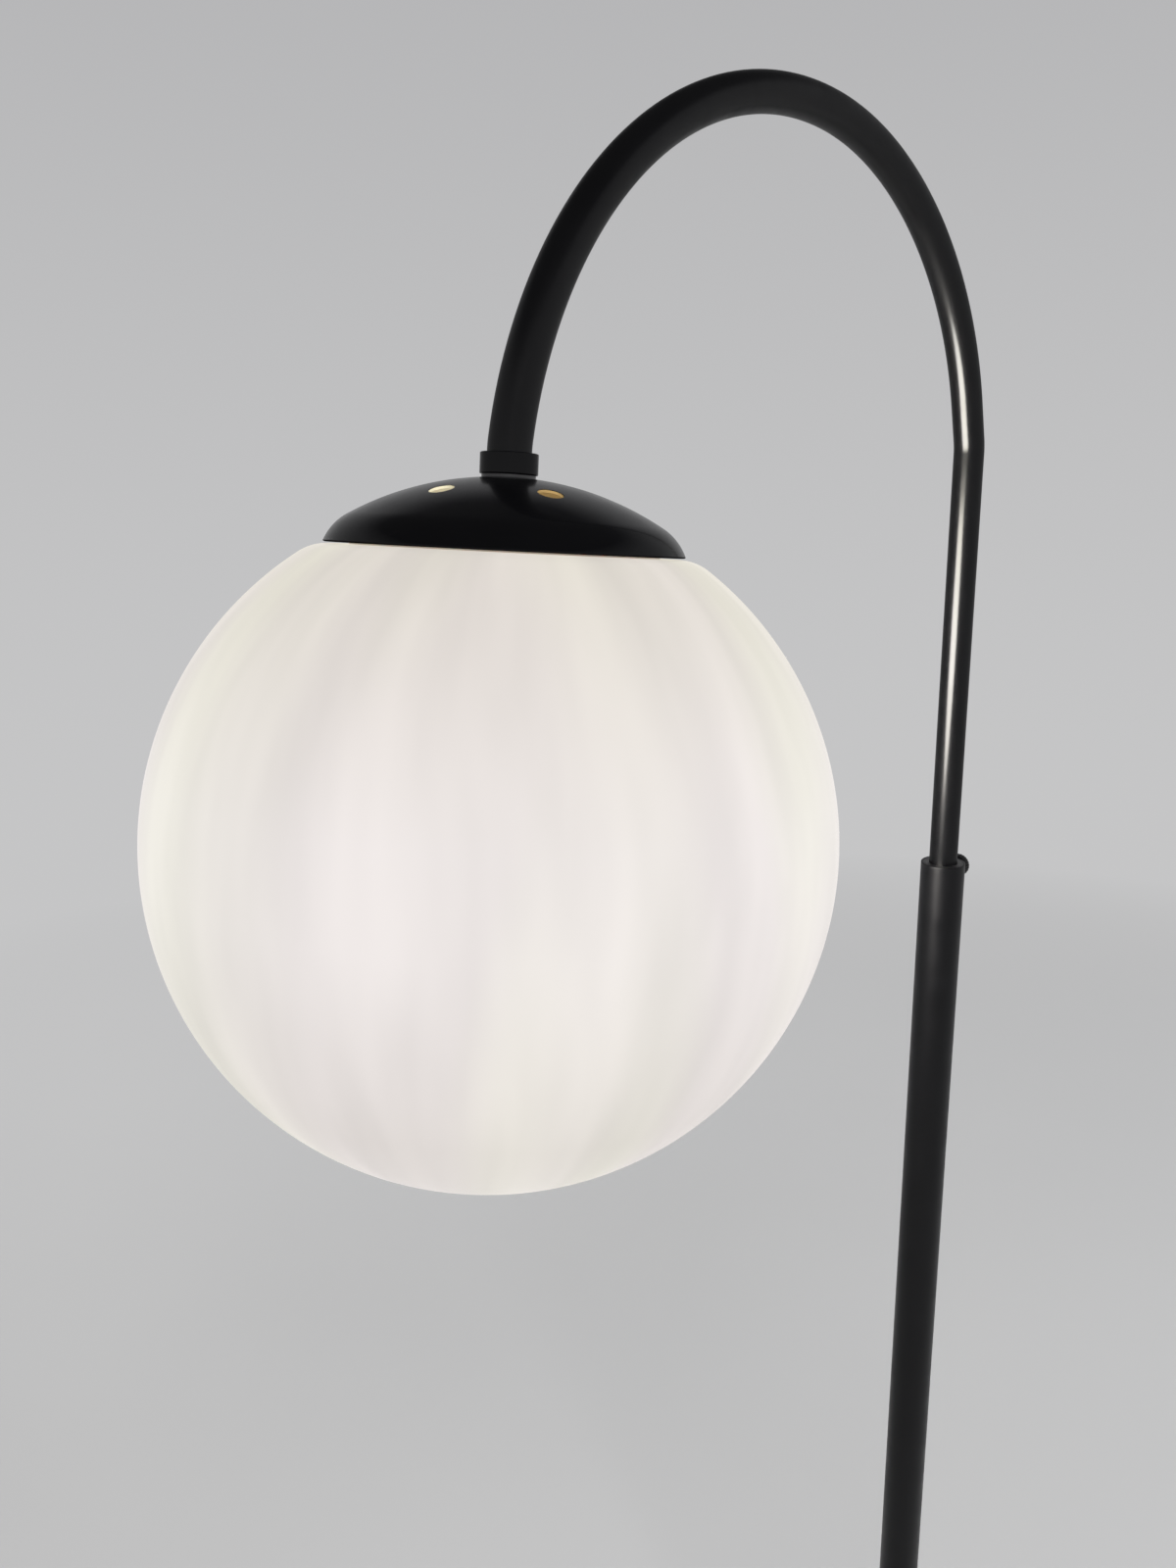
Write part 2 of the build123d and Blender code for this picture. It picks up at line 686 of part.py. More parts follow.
with BuildPart() as screw_shell:
    with BuildSketch(head_level.offset(core_low_h - SHELL_L)):
        Circle(shell_r)
        Circle(shell_r - SHELL_WALL, mode=Mode.SUBTRACT)
    extrude(amount=SHELL_L)
save(screw_shell, "screw_shell")

with BuildPart() as centre_contact:
    with BuildSketch(head_level.offset(contact_low_h)):
        Rectangle(SPRING_W, SPRING_W)
    extrude(amount=SPRING_H)
save(centre_contact, "centre_contact")

# ---------------------------------------------------------------- bulb
with BuildPart() as bulb_cap:
    with BuildSketch(head_level.offset(bulb_cap_low_h)):
        Circle(BULB_CAP_R)
    extrude(amount=BULB_CAP_L)
    chamfer(bulb_cap.edges().group_by(head_axis)[-1], BULB_CAP_R / 3)
save(bulb_cap, "bulb_cap")

with BuildPart() as bulb_contact:
    with BuildSketch(head_level.offset(bulb_cap_top_h)):
        Circle(BULB_CONTACT_R)
    extrude(amount=BULB_CONTACT_T)
save(bulb_contact, "bulb_contact")

bulb_seam = at_angle(BULB_GLOBE_R, BULB_NECK_ANGLE, bulb_centre_h)
bulb_seam_in = at_angle(BULB_GLOBE_R - BULB_WALL, BULB_NECK_ANGLE, bulb_centre_h)
with BuildPart() as bulb_neck:
    with BuildSketch(head_section):
        with BuildLine():
            Polyline(bulb_seam, (0, bulb_seam[1]), (0, bulb_cap_low_h), (BULB_CAP_R, bulb_cap_low_h))
            Spline(
                (BULB_CAP_R, bulb_cap_low_h),
                bulb_seam,
                tangents=[(0, -1), (cos(radians(BULB_NECK_ANGLE)), -sin(radians(BULB_NECK_ANGLE)))],
            )
        make_face()
    revolve(axis=head_axis)
save(bulb_neck, "bulb_neck")

with BuildPart() as bulb_diffuser:
    with BuildSketch(head_section):
        with BuildLine():
            bulb_bottom = bulb_centre_h - BULB_GLOBE_R
            inner_r = BULB_GLOBE_R - BULB_WALL
            inner_top = (bulb_seam_in[0], bulb_seam[1])
            Polyline(bulb_seam, inner_top, bulb_seam_in)
            ThreePointArc(bulb_seam_in, (inner_r, bulb_centre_h), (0, bulb_bottom + BULB_WALL))
            Line((0, bulb_bottom + BULB_WALL), (0, bulb_bottom))
            ThreePointArc((0, bulb_bottom), (BULB_GLOBE_R, bulb_centre_h), bulb_seam)
        make_face()
    revolve(axis=head_axis)
save(bulb_diffuser, "bulb_diffuser")

print("collar top", collar_top, "globe centre", globe_centre, "lamp tilt", lamp_tilt)
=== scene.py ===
"""Globe floor lamp: the dressed model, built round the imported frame.

Metres, in the row frame: the origin is on the floor on the pole's axis, +Z is up and the arm
reaches towards -X. Each sub-assembly is a class with its sizes, its meshes and its finishes.
"""

import json
import logging
import math
from dataclasses import dataclass, field
from enum import Enum
from typing import Any, Sequence

import bmesh
import bpy
from mathutils import Matrix, Vector

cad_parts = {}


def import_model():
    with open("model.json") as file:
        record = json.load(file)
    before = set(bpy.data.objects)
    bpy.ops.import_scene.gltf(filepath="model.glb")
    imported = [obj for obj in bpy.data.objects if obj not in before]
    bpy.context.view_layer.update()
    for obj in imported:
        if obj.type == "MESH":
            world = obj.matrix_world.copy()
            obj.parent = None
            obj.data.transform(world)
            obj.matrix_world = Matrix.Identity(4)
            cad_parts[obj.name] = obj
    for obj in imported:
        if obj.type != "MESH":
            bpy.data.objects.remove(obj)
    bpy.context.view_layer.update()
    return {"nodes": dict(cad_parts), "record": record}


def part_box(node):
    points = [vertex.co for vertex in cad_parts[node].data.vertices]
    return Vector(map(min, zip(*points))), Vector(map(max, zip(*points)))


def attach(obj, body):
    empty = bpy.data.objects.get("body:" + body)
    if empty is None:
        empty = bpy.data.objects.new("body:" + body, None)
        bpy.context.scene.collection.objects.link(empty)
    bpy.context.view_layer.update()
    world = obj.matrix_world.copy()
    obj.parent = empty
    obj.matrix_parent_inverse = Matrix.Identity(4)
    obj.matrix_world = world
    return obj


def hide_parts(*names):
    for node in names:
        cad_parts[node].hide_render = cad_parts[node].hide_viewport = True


log = logging.getLogger("lamp")

Outline = list[tuple[float, float]]
Colour = tuple[float, float, float]
Span = tuple[float, float]
Socket = bpy.types.NodeSocket
Piece = bpy.types.Object

MM = 0.001
# Points nearer to each other than this are one point.
SAME_POINT = 1e-7
# A corner of an outline that is flatter than this stays as it is.
FLAT_CORNER = math.radians(170.0)
# The most of a side that the rounding of one corner takes.
CORNER_SHARE = 0.45
# The middle part of a noise, over which its value mostly runs.
NOISE_SPAN = (0.3, 0.7)
# Sides round the axis of a slim turned piece, a wide one, the largest one and a cutter.
SLIM_SIDES = 96
WIDE_SIDES = 192
LARGE_SIDES = 256
DRILL_SIDES = 64


# ------------------------------------------------------------------------------------------ meshes
class Edge(Enum):
    """Angle between two faces, in degrees, below which the edge between them is shaded smooth."""

    SOFT = 180.0
    CRISP = 32.0

    @property
    def limit(self) -> float:
        """The angle in radians."""
        return math.radians(self.value)


def aside(outline: Outline, across: float) -> Outline:
    """Moves an outline away from the axis."""
    return [(radius + across, height) for radius, height in outline]


def ring_section(inner: float, outer: float, low: float, high: float) -> Outline:
    """The four corners of a plain ring's section, from its inner lower one."""
    return [(inner, low), (outer, low), (outer, high), (inner, high)]


def rounded(outline: Outline, radius: float, steps: int = 5) -> Outline:
    """Rounds the corners of an open outline, and leaves its two ends.

    Args:
        outline: Corner points, as distance from the axis and height.
        radius: Radius of the rounding. A short side gets a smaller one.
        steps: Points on each rounded corner.

    Returns:
        The outline with an arc in place of each inner corner.
    """
    result = [outline[0]]
    for before, corner, after in zip(outline, outline[1:], outline[2:]):
        here = Vector(corner)
        back = Vector(before) - here
        on = Vector(after) - here
        turn = back.angle(on)
        if turn > FLAT_CORNER:
            result.append(corner)
            continue
        reach = min(
            radius / math.tan(turn / 2), CORNER_SHARE * back.length, CORNER_SHARE * on.length
        )
        start = here + back.normalized() * reach
        end = here + on.normalized() * reach
        for step in range(steps + 1):
            share = step / steps
            point = start * (1 - share) ** 2 + here * 2 * share * (1 - share) + end * share**2
            result.append((point.x, point.y))
    result.append(outline[-1])
    return result


def eased(section: Outline, radius: float, steps: int = 5) -> Outline:
    """Rounds every corner of a closed section but its first one.

    Args:
        section: Corner points, each named once.
        radius: Radius of the rounding.
        steps: Points on each rounded corner.

    Returns:
        The rounded section, with its first point named once.
    """
    return rounded(section + section[:1], radius, steps)[:-1]


def arc(radius: float, start: float, end: float, centre: float = 0.0, steps: int = 24) -> Outline:
    """Points of a circle about a centre on the axis.

    Args:
        radius: The circle's radius.
        start: First angle, in degrees from the upward axis.
        end: Last angle, in degrees from the upward axis.
        centre: Height of the circle's centre.
        steps: Number of chords.

    Returns:
        Outline points from start to end.
    """
    angles = [math.radians(start + (end - start) * step / steps) for step in range(steps + 1)]
    return [(radius * math.sin(angle), centre + radius * math.cos(angle)) for angle in angles]


def add_object(name: str, data: bpy.types.ID) -> Piece:
    """Makes an object and links it to the scene.

    Args:
        name: The new object's name.
        data: Its mesh, lamp or camera.

    Returns:
        The new object.
    """
    made = bpy.data.objects.new(name, data)
    bpy.context.scene.collection.objects.link(made)
    return made


def shade(shape: bmesh.types.BMesh, edge: Edge) -> None:
    """Makes the faces smooth and leaves the sharper edges crisp.

    Args:
        shape: The bmesh to shade.
        edge: How its edges are shaded.
    """
    for item in shape.edges:
        item.smooth = len(item.link_faces) != 2 or item.calc_face_angle(0.0) < edge.limit
    for face in shape.faces:
        face.smooth = True


def finish_mesh(name: str, shape: bmesh.types.BMesh, edge: Edge = Edge.CRISP) -> Piece:
    """Turns a bmesh into a linked object with smooth faces and crisp edges.

    Args:
        name: The new piece's name.
        shape: The bmesh, which is freed.
        edge: How its edges are shaded.

    Returns:
        The new object.
    """
    bmesh.ops.remove_doubles(shape, verts=shape.verts, dist=SAME_POINT)
    bmesh.ops.recalc_face_normals(shape, faces=shape.faces)
    shade(shape, edge)
    mesh = bpy.data.meshes.new(name)
    shape.to_mesh(mesh)
    shape.free()
    return add_object(name, mesh)


def skin(
    shape: bmesh.types.BMesh, rings: Sequence[Sequence[bmesh.types.BMVert]], closed: bool
) -> None:
    """Joins rings of points with faces.

    Args:
        shape: The bmesh that gets the faces.
        rings: Rings of as many points each. A ring of one point is a pole.
        closed: Whether the last ring joins the first.
    """
    sides = max(len(ring) for ring in rings)
    pairs = list(zip(rings, rings[1:]))
    if closed:
        pairs.append((rings[-1], rings[0]))
    for low, high in pairs:
        for side in range(sides):
            after = (side + 1) % sides
            corners = [low[side % len(low)], low[after % len(low)]]
            corners += [high[after % len(high)], high[side % len(high)]]
            unique = list(dict.fromkeys(corners))
            if len(unique) > 2:
                shape.faces.new(unique)


def lathe(
    name: str,
    outline: Outline,
    place: Matrix,
    sides: int = SLIM_SIDES,
    closed: bool = True,
    edge: Edge = Edge.CRISP,
) -> Piece:
    """Makes a turned piece.

    Args:
        name: The new piece's name.
        outline: Section points, as distance from the axis and height.
        place: Takes the piece's own axes, with its axis along Z, to the row frame.
        sides: Number of sides round the axis.
        closed: Whether the last point joins the first.
        edge: How its edges are shaded.

    Returns:
        The new object.
    """
    shape = bmesh.new()
    rings = []
    for across, height in outline:
        if across < SAME_POINT:
            rings.append([shape.verts.new(place @ Vector((0.0, 0.0, height)))])
            continue
        ring = []
        for side in range(sides):
            angle = 2 * math.pi * side / sides
            point = Vector((across * math.cos(angle), across * math.sin(angle), height))
            ring.append(shape.verts.new(place @ point))
        rings.append(ring)
    skin(shape, rings, closed)
    return finish_mesh(name, shape, edge)


def cut(piece: Piece, tools: Sequence[Piece]) -> None:
    """Cuts tool solids out of a piece, and removes the tools.

    Args:
        piece: The object that is cut.
        tools: The objects to take away from it.
    """
    for tool in tools:
        step = piece.modifiers.new("cut", "BOOLEAN")
        step.operation = "DIFFERENCE"
        step.solver = "EXACT"
        step.object = tool
    graph = bpy.context.evaluated_depsgraph_get()
    solid = bmesh.new()
    solid.from_mesh(bpy.data.meshes.new_from_object(piece.evaluated_get(graph)))
    piece.modifiers.clear()
    shade(solid, Edge.CRISP)
    solid.to_mesh(piece.data)
    solid.free()
    for tool in tools:
        bpy.data.objects.remove(tool)


def drill(radius: float, start: Vector, length: float) -> Piece:
    """Makes a round cutter along +X.

    Args:
        radius: The hole's radius.
        start: Middle of the cutter's near end.
        length: The cutter's length.

    Returns:
        The cutter.
    """
    aim = Matrix.Translation(start) @ Matrix.Rotation(math.radians(90.0), 4, "Y")
    outline = [(0.0, 0.0), (radius, 0.0), (radius, length), (0.0, length)]
    return lathe("drill", outline, aim, DRILL_SIDES, closed=False)


# ---------------------------------------------------------------------------------------- finishes
def scaled(values: Sequence[float], share: float) -> tuple[float, ...]:
    """Multiplies each part of a colour, or both ends of a span."""
    return tuple(share * value for value in values)


@dataclass(frozen=True)
class Grain:
    """Fineness of a noise: its cells per metre, its octaves and the share of the finer ones."""

    scale: float
    octaves: float = 2.0
    share: float = 0.5


class Recipe:
    """A node material with its main shader, and short ways to add nodes to it."""

    def __init__(self, name: str) -> None:
        """Starts an empty recipe.

        Args:
            name: The material's name.
        """
        self.material = bpy.data.materials.new(name)
        self.material.use_nodes = True
        self.tree = self.material.node_tree
        self.shader = self.tree.nodes["Principled BSDF"]

    def node(self, kind: str, **values: Any) -> bpy.types.Node:
        """Adds a node.

        Args:
            kind: Blender's node type, such as ShaderNodeTexNoise.
            **values: Node settings, or values of its inputs by lower-case name.

        Returns:
            The new node.
        """
        made = self.tree.nodes.new(kind)
        for key, value in values.items():
            if hasattr(made, key):
                setattr(made, key, value)
            else:
                made.inputs[key.replace("_", " ").title()].default_value = value
        return made

    def link(self, source: Socket, target: Socket) -> None:
        """Joins an output to an input."""
        self.tree.links.new(source, target)

    def feed(self, source: Socket, name: str) -> None:
        """Joins an output to the main shader's input of that name."""
        self.link(source, self.shader.inputs[name])

    def surface(self, shader: bpy.types.Node) -> None:
        """Makes another shader the one that the surface shows."""
        self.link(shader.outputs[0], self.tree.nodes["Material Output"].inputs["Surface"])

    def set(self, **values: Any) -> None:
        """Sets constant values on the main shader's own sockets.

        Args:
            **values: A value for each socket, by its lower-case name.
        """
        names = {socket.name.lower().replace(" ", "_"): socket for socket in self.shader.inputs}
        for key, value in values.items():
            names[key].default_value = value

    def plug(self, made: bpy.types.Node, values: dict[int, Any]) -> None:
        """Fills a node's inputs.

        Args:
            made: The node.
            values: A socket to join, or a constant to set, for each input's number.
        """
        for index, value in values.items():
            if isinstance(value, Socket):
                self.link(value, made.inputs[index])
            else:
                made.inputs[index].default_value = value

    def maths(self, operation: str, *values: Any) -> Socket:
        """Works out a value.

        Args:
            operation: Blender's name for it, such as MULTIPLY.
            *values: Sockets or numbers.

        Returns:
            The result's socket.
        """
        made = self.node("ShaderNodeMath", operation=operation)
        self.plug(made, dict(enumerate(values)))
        return made.outputs[0]

    def vector(self, operation: str, *values: Any) -> Socket:
        """Works out a vector, or the length or product of vectors.

        Args:
            operation: Blender's name for it, such as NORMALIZE.
            *values: Sockets or vectors.

        Returns:
            The result's socket.
        """
        made = self.node("ShaderNodeVectorMath", operation=operation)
        self.plug(made, dict(enumerate(values)))
        return made.outputs["Value" if operation in ("LENGTH", "DOT_PRODUCT") else "Vector"]

    def product(self, *factors: Socket) -> Socket:
        """Multiplies values.

        Args:
            *factors: The values' sockets.

        Returns:
            The product's socket.
        """
        total = factors[0]
        for factor in factors[1:]:
            total = self.maths("MULTIPLY", total, factor)
        return total

    def mix(self, factor: Any, first: Any, second: Any, blend: str = "MIX") -> Socket:
        """Mixes two colours.

        Args:
            factor: Share of the second colour, as a socket or a number.
            first: First colour, as a socket or four numbers.
            second: Second colour, as a socket or four numbers.
            blend: Blender's name for the way they mix.

        Returns:
            The mixed colour's socket.
        """
        made = self.node("ShaderNodeMix", data_type="RGBA", blend_type=blend)
        self.plug(made, {0: factor, 6: first, 7: second})
        return made.outputs[2]

    def turned(self, vector: Socket, axis: str, angle: float) -> Socket:
        """Turns a vector about an axis.

        Args:
            vector: The vector's socket.
            axis: Blender's name for the axis, such as Z_AXIS.
            angle: The turn in radians.

        Returns:
            The turned vector's socket.
        """
        made = self.node("ShaderNodeVectorRotate", rotation_type=axis, angle=angle)
        self.link(vector, made.inputs["Vector"])
        return made.outputs["Vector"]

    def only(self, parts: bpy.types.Node, axes: str) -> Socket:
        """Puts some axes of a vector together again, with nought for the others.

        Args:
            parts: The node that took the vector apart.
            axes: Names of the axes, such as XY.

        Returns:
            The vector's socket.
        """
        made = self.node("ShaderNodeCombineXYZ")
        for axis in axes:
            self.link(parts.outputs[axis], made.inputs[axis])
        return made.outputs[0]

    def place(self, offset: Sequence[float] = (0.0, 0.0, 0.0), turn: float = 0.0) -> Socket:
        """Coordinates in the row frame, moved to a point and turned about Y.

        Args:
            offset: Point that becomes the origin.
            turn: Turn about the Y axis, in radians.

        Returns:
            The vector socket.
        """
        where = self.node("ShaderNodeTexCoord")
        return self.turned(self.vector("SUBTRACT", where.outputs["Object"], offset), "Y_AXIS", turn)

    def apart(self, vector: Socket) -> bpy.types.Node:
        """Takes a vector apart into its axes.

        Args:
            vector: The vector's socket.

        Returns:
            The node, with an output for each axis.
        """
        made = self.node("ShaderNodeSeparateXYZ")
        self.link(vector, made.inputs[0])
        return made

    def noise(self, where: Socket, grain: Grain, output: str = "Fac") -> Socket:
        """Noise over the surface.

        Args:
            where: Coordinates.
            grain: How fine it is.
            output: Fac for one value, or Color for three that differ.

        Returns:
            The output's socket.
        """
        made = self.node("ShaderNodeTexNoise", scale=grain.scale)
        made.inputs["Detail"].default_value = grain.octaves
        made.inputs["Roughness"].default_value = grain.share
        self.link(where, made.inputs["Vector"])
        return made.outputs[output]

    def ramp(self, factor: Socket, stops: Sequence[tuple[float, Colour]]) -> Socket:
        """Colours along a factor.

        Args:
            factor: Value from 0 to 1.
            stops: Position and colour of each stop.

        Returns:
            The colour socket.
        """
        made = self.node("ShaderNodeValToRGB")
        band = made.color_ramp
        while len(band.elements) < len(stops):
            band.elements.new(1.0)
        for element, (position, colour) in zip(band.elements, stops):
            element.position = position
            element.color = (*colour, 1.0)
        self.link(factor, made.inputs["Fac"])
        return made.outputs["Color"]

    def spread(
        self, factor: Socket, low: float, high: float, start: float = 0.0, end: float = 1.0
    ) -> Socket:
        """Maps a factor from start..end to low..high.

        Args:
            factor: The value to map.
            low: Result at start.
            high: Result at end.
            start: Value that gives low.
            end: Value that gives high.

        Returns:
            The mapped value's socket.
        """
        made = self.node("ShaderNodeMapRange")
        self.plug(made, dict(enumerate((factor, start, end, low, high))))
        return made.outputs[0]

    def bump(self, height: Socket, depth: float) -> None:
        """Raises the surface by a height texture.

        Args:
            height: The texture, from 0 to 1.
            depth: Metres from 0 to 1.
        """
        made = self.node("ShaderNodeBump", distance=depth, strength=1.0)
        self.link(height, made.inputs["Height"])
        self.feed(made.outputs["Normal"], "Normal")


@dataclass(frozen=True)
class Paint:
    """Baked paint on metal: an even colour with orange peel, specks of dust and a clear coat."""

    name: str
    colour: Colour
    rough: float
    peel: Grain = Grain(420.0)
    depth: float = 4e-6
    specks: float = 0.05
    shine: float = 0.3
    coat: float = 0.0
    coat_rough: float = 0.03
    coat_ior: float = 3.0
    ior: float = 1.5
    drift: Grain = Grain(14.0, 3.0)
    drift_span: Span = (0.35, 0.7)
    lighter: float = 1.35
    dust_scale: float = 520.0
    dust_size: Span = (0.035, 0.09)
    patches: Grain = Grain(95.0, 1.0)
    patch_span: Span = (0.6, 0.72)
    wear: Grain = Grain(60.0, 4.0, 0.6)
    wear_reach: Span = (0.85, 1.2)

    def dust(self, recipe: Recipe, where: Socket) -> Socket:
        """Specks of dust, in sparse patches.

        Args:
            recipe: The paint's recipe.
            where: Coordinates.

        Returns:
            One on a speck, nought elsewhere.
        """
        cells = recipe.node("ShaderNodeTexVoronoi", scale=self.dust_scale, randomness=1.0)
        recipe.link(where, cells.inputs["Vector"])
        speck = recipe.spread(cells.outputs["Distance"], 1.0, 0.0, *self.dust_size)
        patch = recipe.noise(where, self.patches)
        return recipe.product(speck, recipe.spread(patch, 0.0, 1.0, *self.patch_span))

    def make(self) -> bpy.types.Material:
        """Builds the material.

        Returns:
            The new material.
        """
        recipe = Recipe(self.name)
        where = recipe.place()
        recipe.set(metallic=0.0, ior=self.ior, specular_ior_level=self.shine)
        recipe.set(coat_weight=self.coat, coat_roughness=self.coat_rough, coat_ior=self.coat_ior)
        start, end = self.drift_span
        stops = [(start, self.colour), (end, scaled(self.colour, self.lighter))]
        base = recipe.ramp(recipe.noise(where, self.drift), stops)
        grey = (self.specks, self.specks, self.specks, 1.0)
        recipe.feed(recipe.mix(self.dust(recipe, where), base, grey), "Base Color")
        least, most = scaled(self.wear_reach, self.rough)
        wear = recipe.noise(where, self.wear)
        recipe.feed(recipe.spread(wear, least, most, *NOISE_SPAN), "Roughness")
        recipe.bump(recipe.noise(where, self.peel), self.depth)
        return recipe.material


@dataclass(frozen=True)
class Metal:
    """Bare or plated metal with fine turning or drawing marks."""

    name: str
    colour: Colour
    rough: float
    marks: Grain = Grain(900.0, 3.0)
    depth: float = 6e-6
    drift: Grain = Grain(160.0, 4.0, 0.6)
    drift_span: Span = (0.3, 0.65)
    darker: float = 0.72
    rough_reach: Span = (0.75, 1.4)

    def make(self) -> bpy.types.Material:
        """Builds the material.

        Returns:
            The new material.
        """
        recipe = Recipe(self.name)
        where = recipe.place()
        recipe.set(metallic=1.0)
        drift = recipe.noise(where, self.drift)
        start, end = self.drift_span
        stops = [(start, scaled(self.colour, self.darker)), (end, self.colour)]
        recipe.feed(recipe.ramp(drift, stops), "Base Color")
        recipe.feed(recipe.spread(drift, *scaled(self.rough_reach, self.rough)), "Roughness")
        recipe.bump(recipe.noise(where, self.marks), self.depth)
        return recipe.material


@dataclass(frozen=True)
class Moulding:
    """Moulded plastic, ceramic, foam or rubber: a colour that drifts a little, and a fine skin."""

    name: str
    colour: Colour
    rough: float
    skin: Grain = Grain(1200.0)
    depth: float = 8e-6
    glow: float = 0.0
    glow_colour: Colour = (1.0, 0.9, 0.75)
    through: float = 0.0
    through_depth: float = 2.0 * MM
    drift: Grain = Grain(45.0, 3.0)
    darker: float = 0.8
    wear: Grain = Grain(300.0)
    rough_reach: Span = (0.85, 1.15)

    def make(self) -> bpy.types.Material:
        """Builds the material.

        Returns:
            The new material.
        """
        recipe = Recipe(self.name)
        where = recipe.place()
        recipe.set(emission_strength=self.glow, emission_color=(*self.glow_colour, 1.0))
        recipe.set(subsurface_weight=self.through, subsurface_scale=self.through_depth)
        start, end = NOISE_SPAN
        stops = [(start, scaled(self.colour, self.darker)), (end, self.colour)]
        recipe.feed(recipe.ramp(recipe.noise(where, self.drift), stops), "Base Color")
        wear = recipe.noise(where, self.wear)
        recipe.feed(recipe.spread(wear, *scaled(self.rough_reach, self.rough)), "Roughness")
        recipe.bump(recipe.noise(where, self.skin), self.depth)
        return recipe.material


@dataclass(frozen=True)
class CastIron:
    """Sand-cast iron under a thin primer: coarse skin, dull and mottled."""

    name: str
    colour: Colour
    metallic: float = 0.3
    mottle: Grain = Grain(70.0, 6.0, 0.65)
    mottle_span: Span = (0.35, 0.7)
    lighter: float = 1.8
    rough_reach: Span = (0.55, 0.8)
    skin: Grain = Grain(380.0, 5.0, 0.6)
    depth: float = 2.5e-4

    def make(self) -> bpy.types.Material:
        """Builds the material.

        Returns:
            The new material.
        """
        recipe = Recipe(self.name)
        where = recipe.place()
        recipe.set(metallic=self.metallic)
        mottle = recipe.noise(where, self.mottle)
        start, end = self.mottle_span
        stops = [(start, self.colour), (end, scaled(self.colour, self.lighter))]
        recipe.feed(recipe.ramp(mottle, stops), "Base Color")
        recipe.feed(recipe.spread(mottle, *self.rough_reach), "Roughness")
        recipe.bump(recipe.noise(where, self.skin), self.depth)
        return recipe.material


@dataclass(frozen=True)
class ShadedEnamel:
    """Pale enamel inside the cap, with a painted shade in brown over one side of it."""

    name: str
    centre: Vector
    tilt: float
    pale: Colour = (0.90, 0.85, 0.64)
    painted_shade_brown: Colour = (0.49, 0.34, 0.145)
    painted_shade_side: float = math.radians(-45.0)
    pale_until: float = -14.0 * MM
    painted_shade_from: float = 6.0 * MM
    ripple: float = 12.0 * MM
    ripples: Grain = Grain(60.0, 3.0)
    rough: float = 0.6
    skin: Grain = Grain(240.0)
    depth: float = 8e-6

    def make(self) -> bpy.types.Material:
        """Builds the material.

        Returns:
            The new material.
        """
        recipe = Recipe(self.name)
        where = recipe.place(self.centre, -self.tilt)
        recipe.set(roughness=self.rough, specular_ior_level=0.0)
        # Painted shade: the enamel darkens to brown towards one side, with a rippled edge.
        side = (math.cos(self.painted_shade_side), math.sin(self.painted_shade_side), 0.0)
        towards = recipe.vector("DOT_PRODUCT", where, side)
        ripples = recipe.noise(where, self.ripples)
        rippled = recipe.maths("MULTIPLY_ADD", ripples, self.ripple, towards)
        middle = self.ripple / 2
        span = (self.pale_until + middle, self.painted_shade_from + middle)
        painted_shade = recipe.spread(rippled, 0.0, 1.0, *span)
        recipe.feed(recipe.ramp(painted_shade, [(0.0, self.pale), (1.0, self.painted_shade_brown)]), "Base Color")
        recipe.bump(recipe.noise(where, self.skin), self.depth)
        return recipe.material


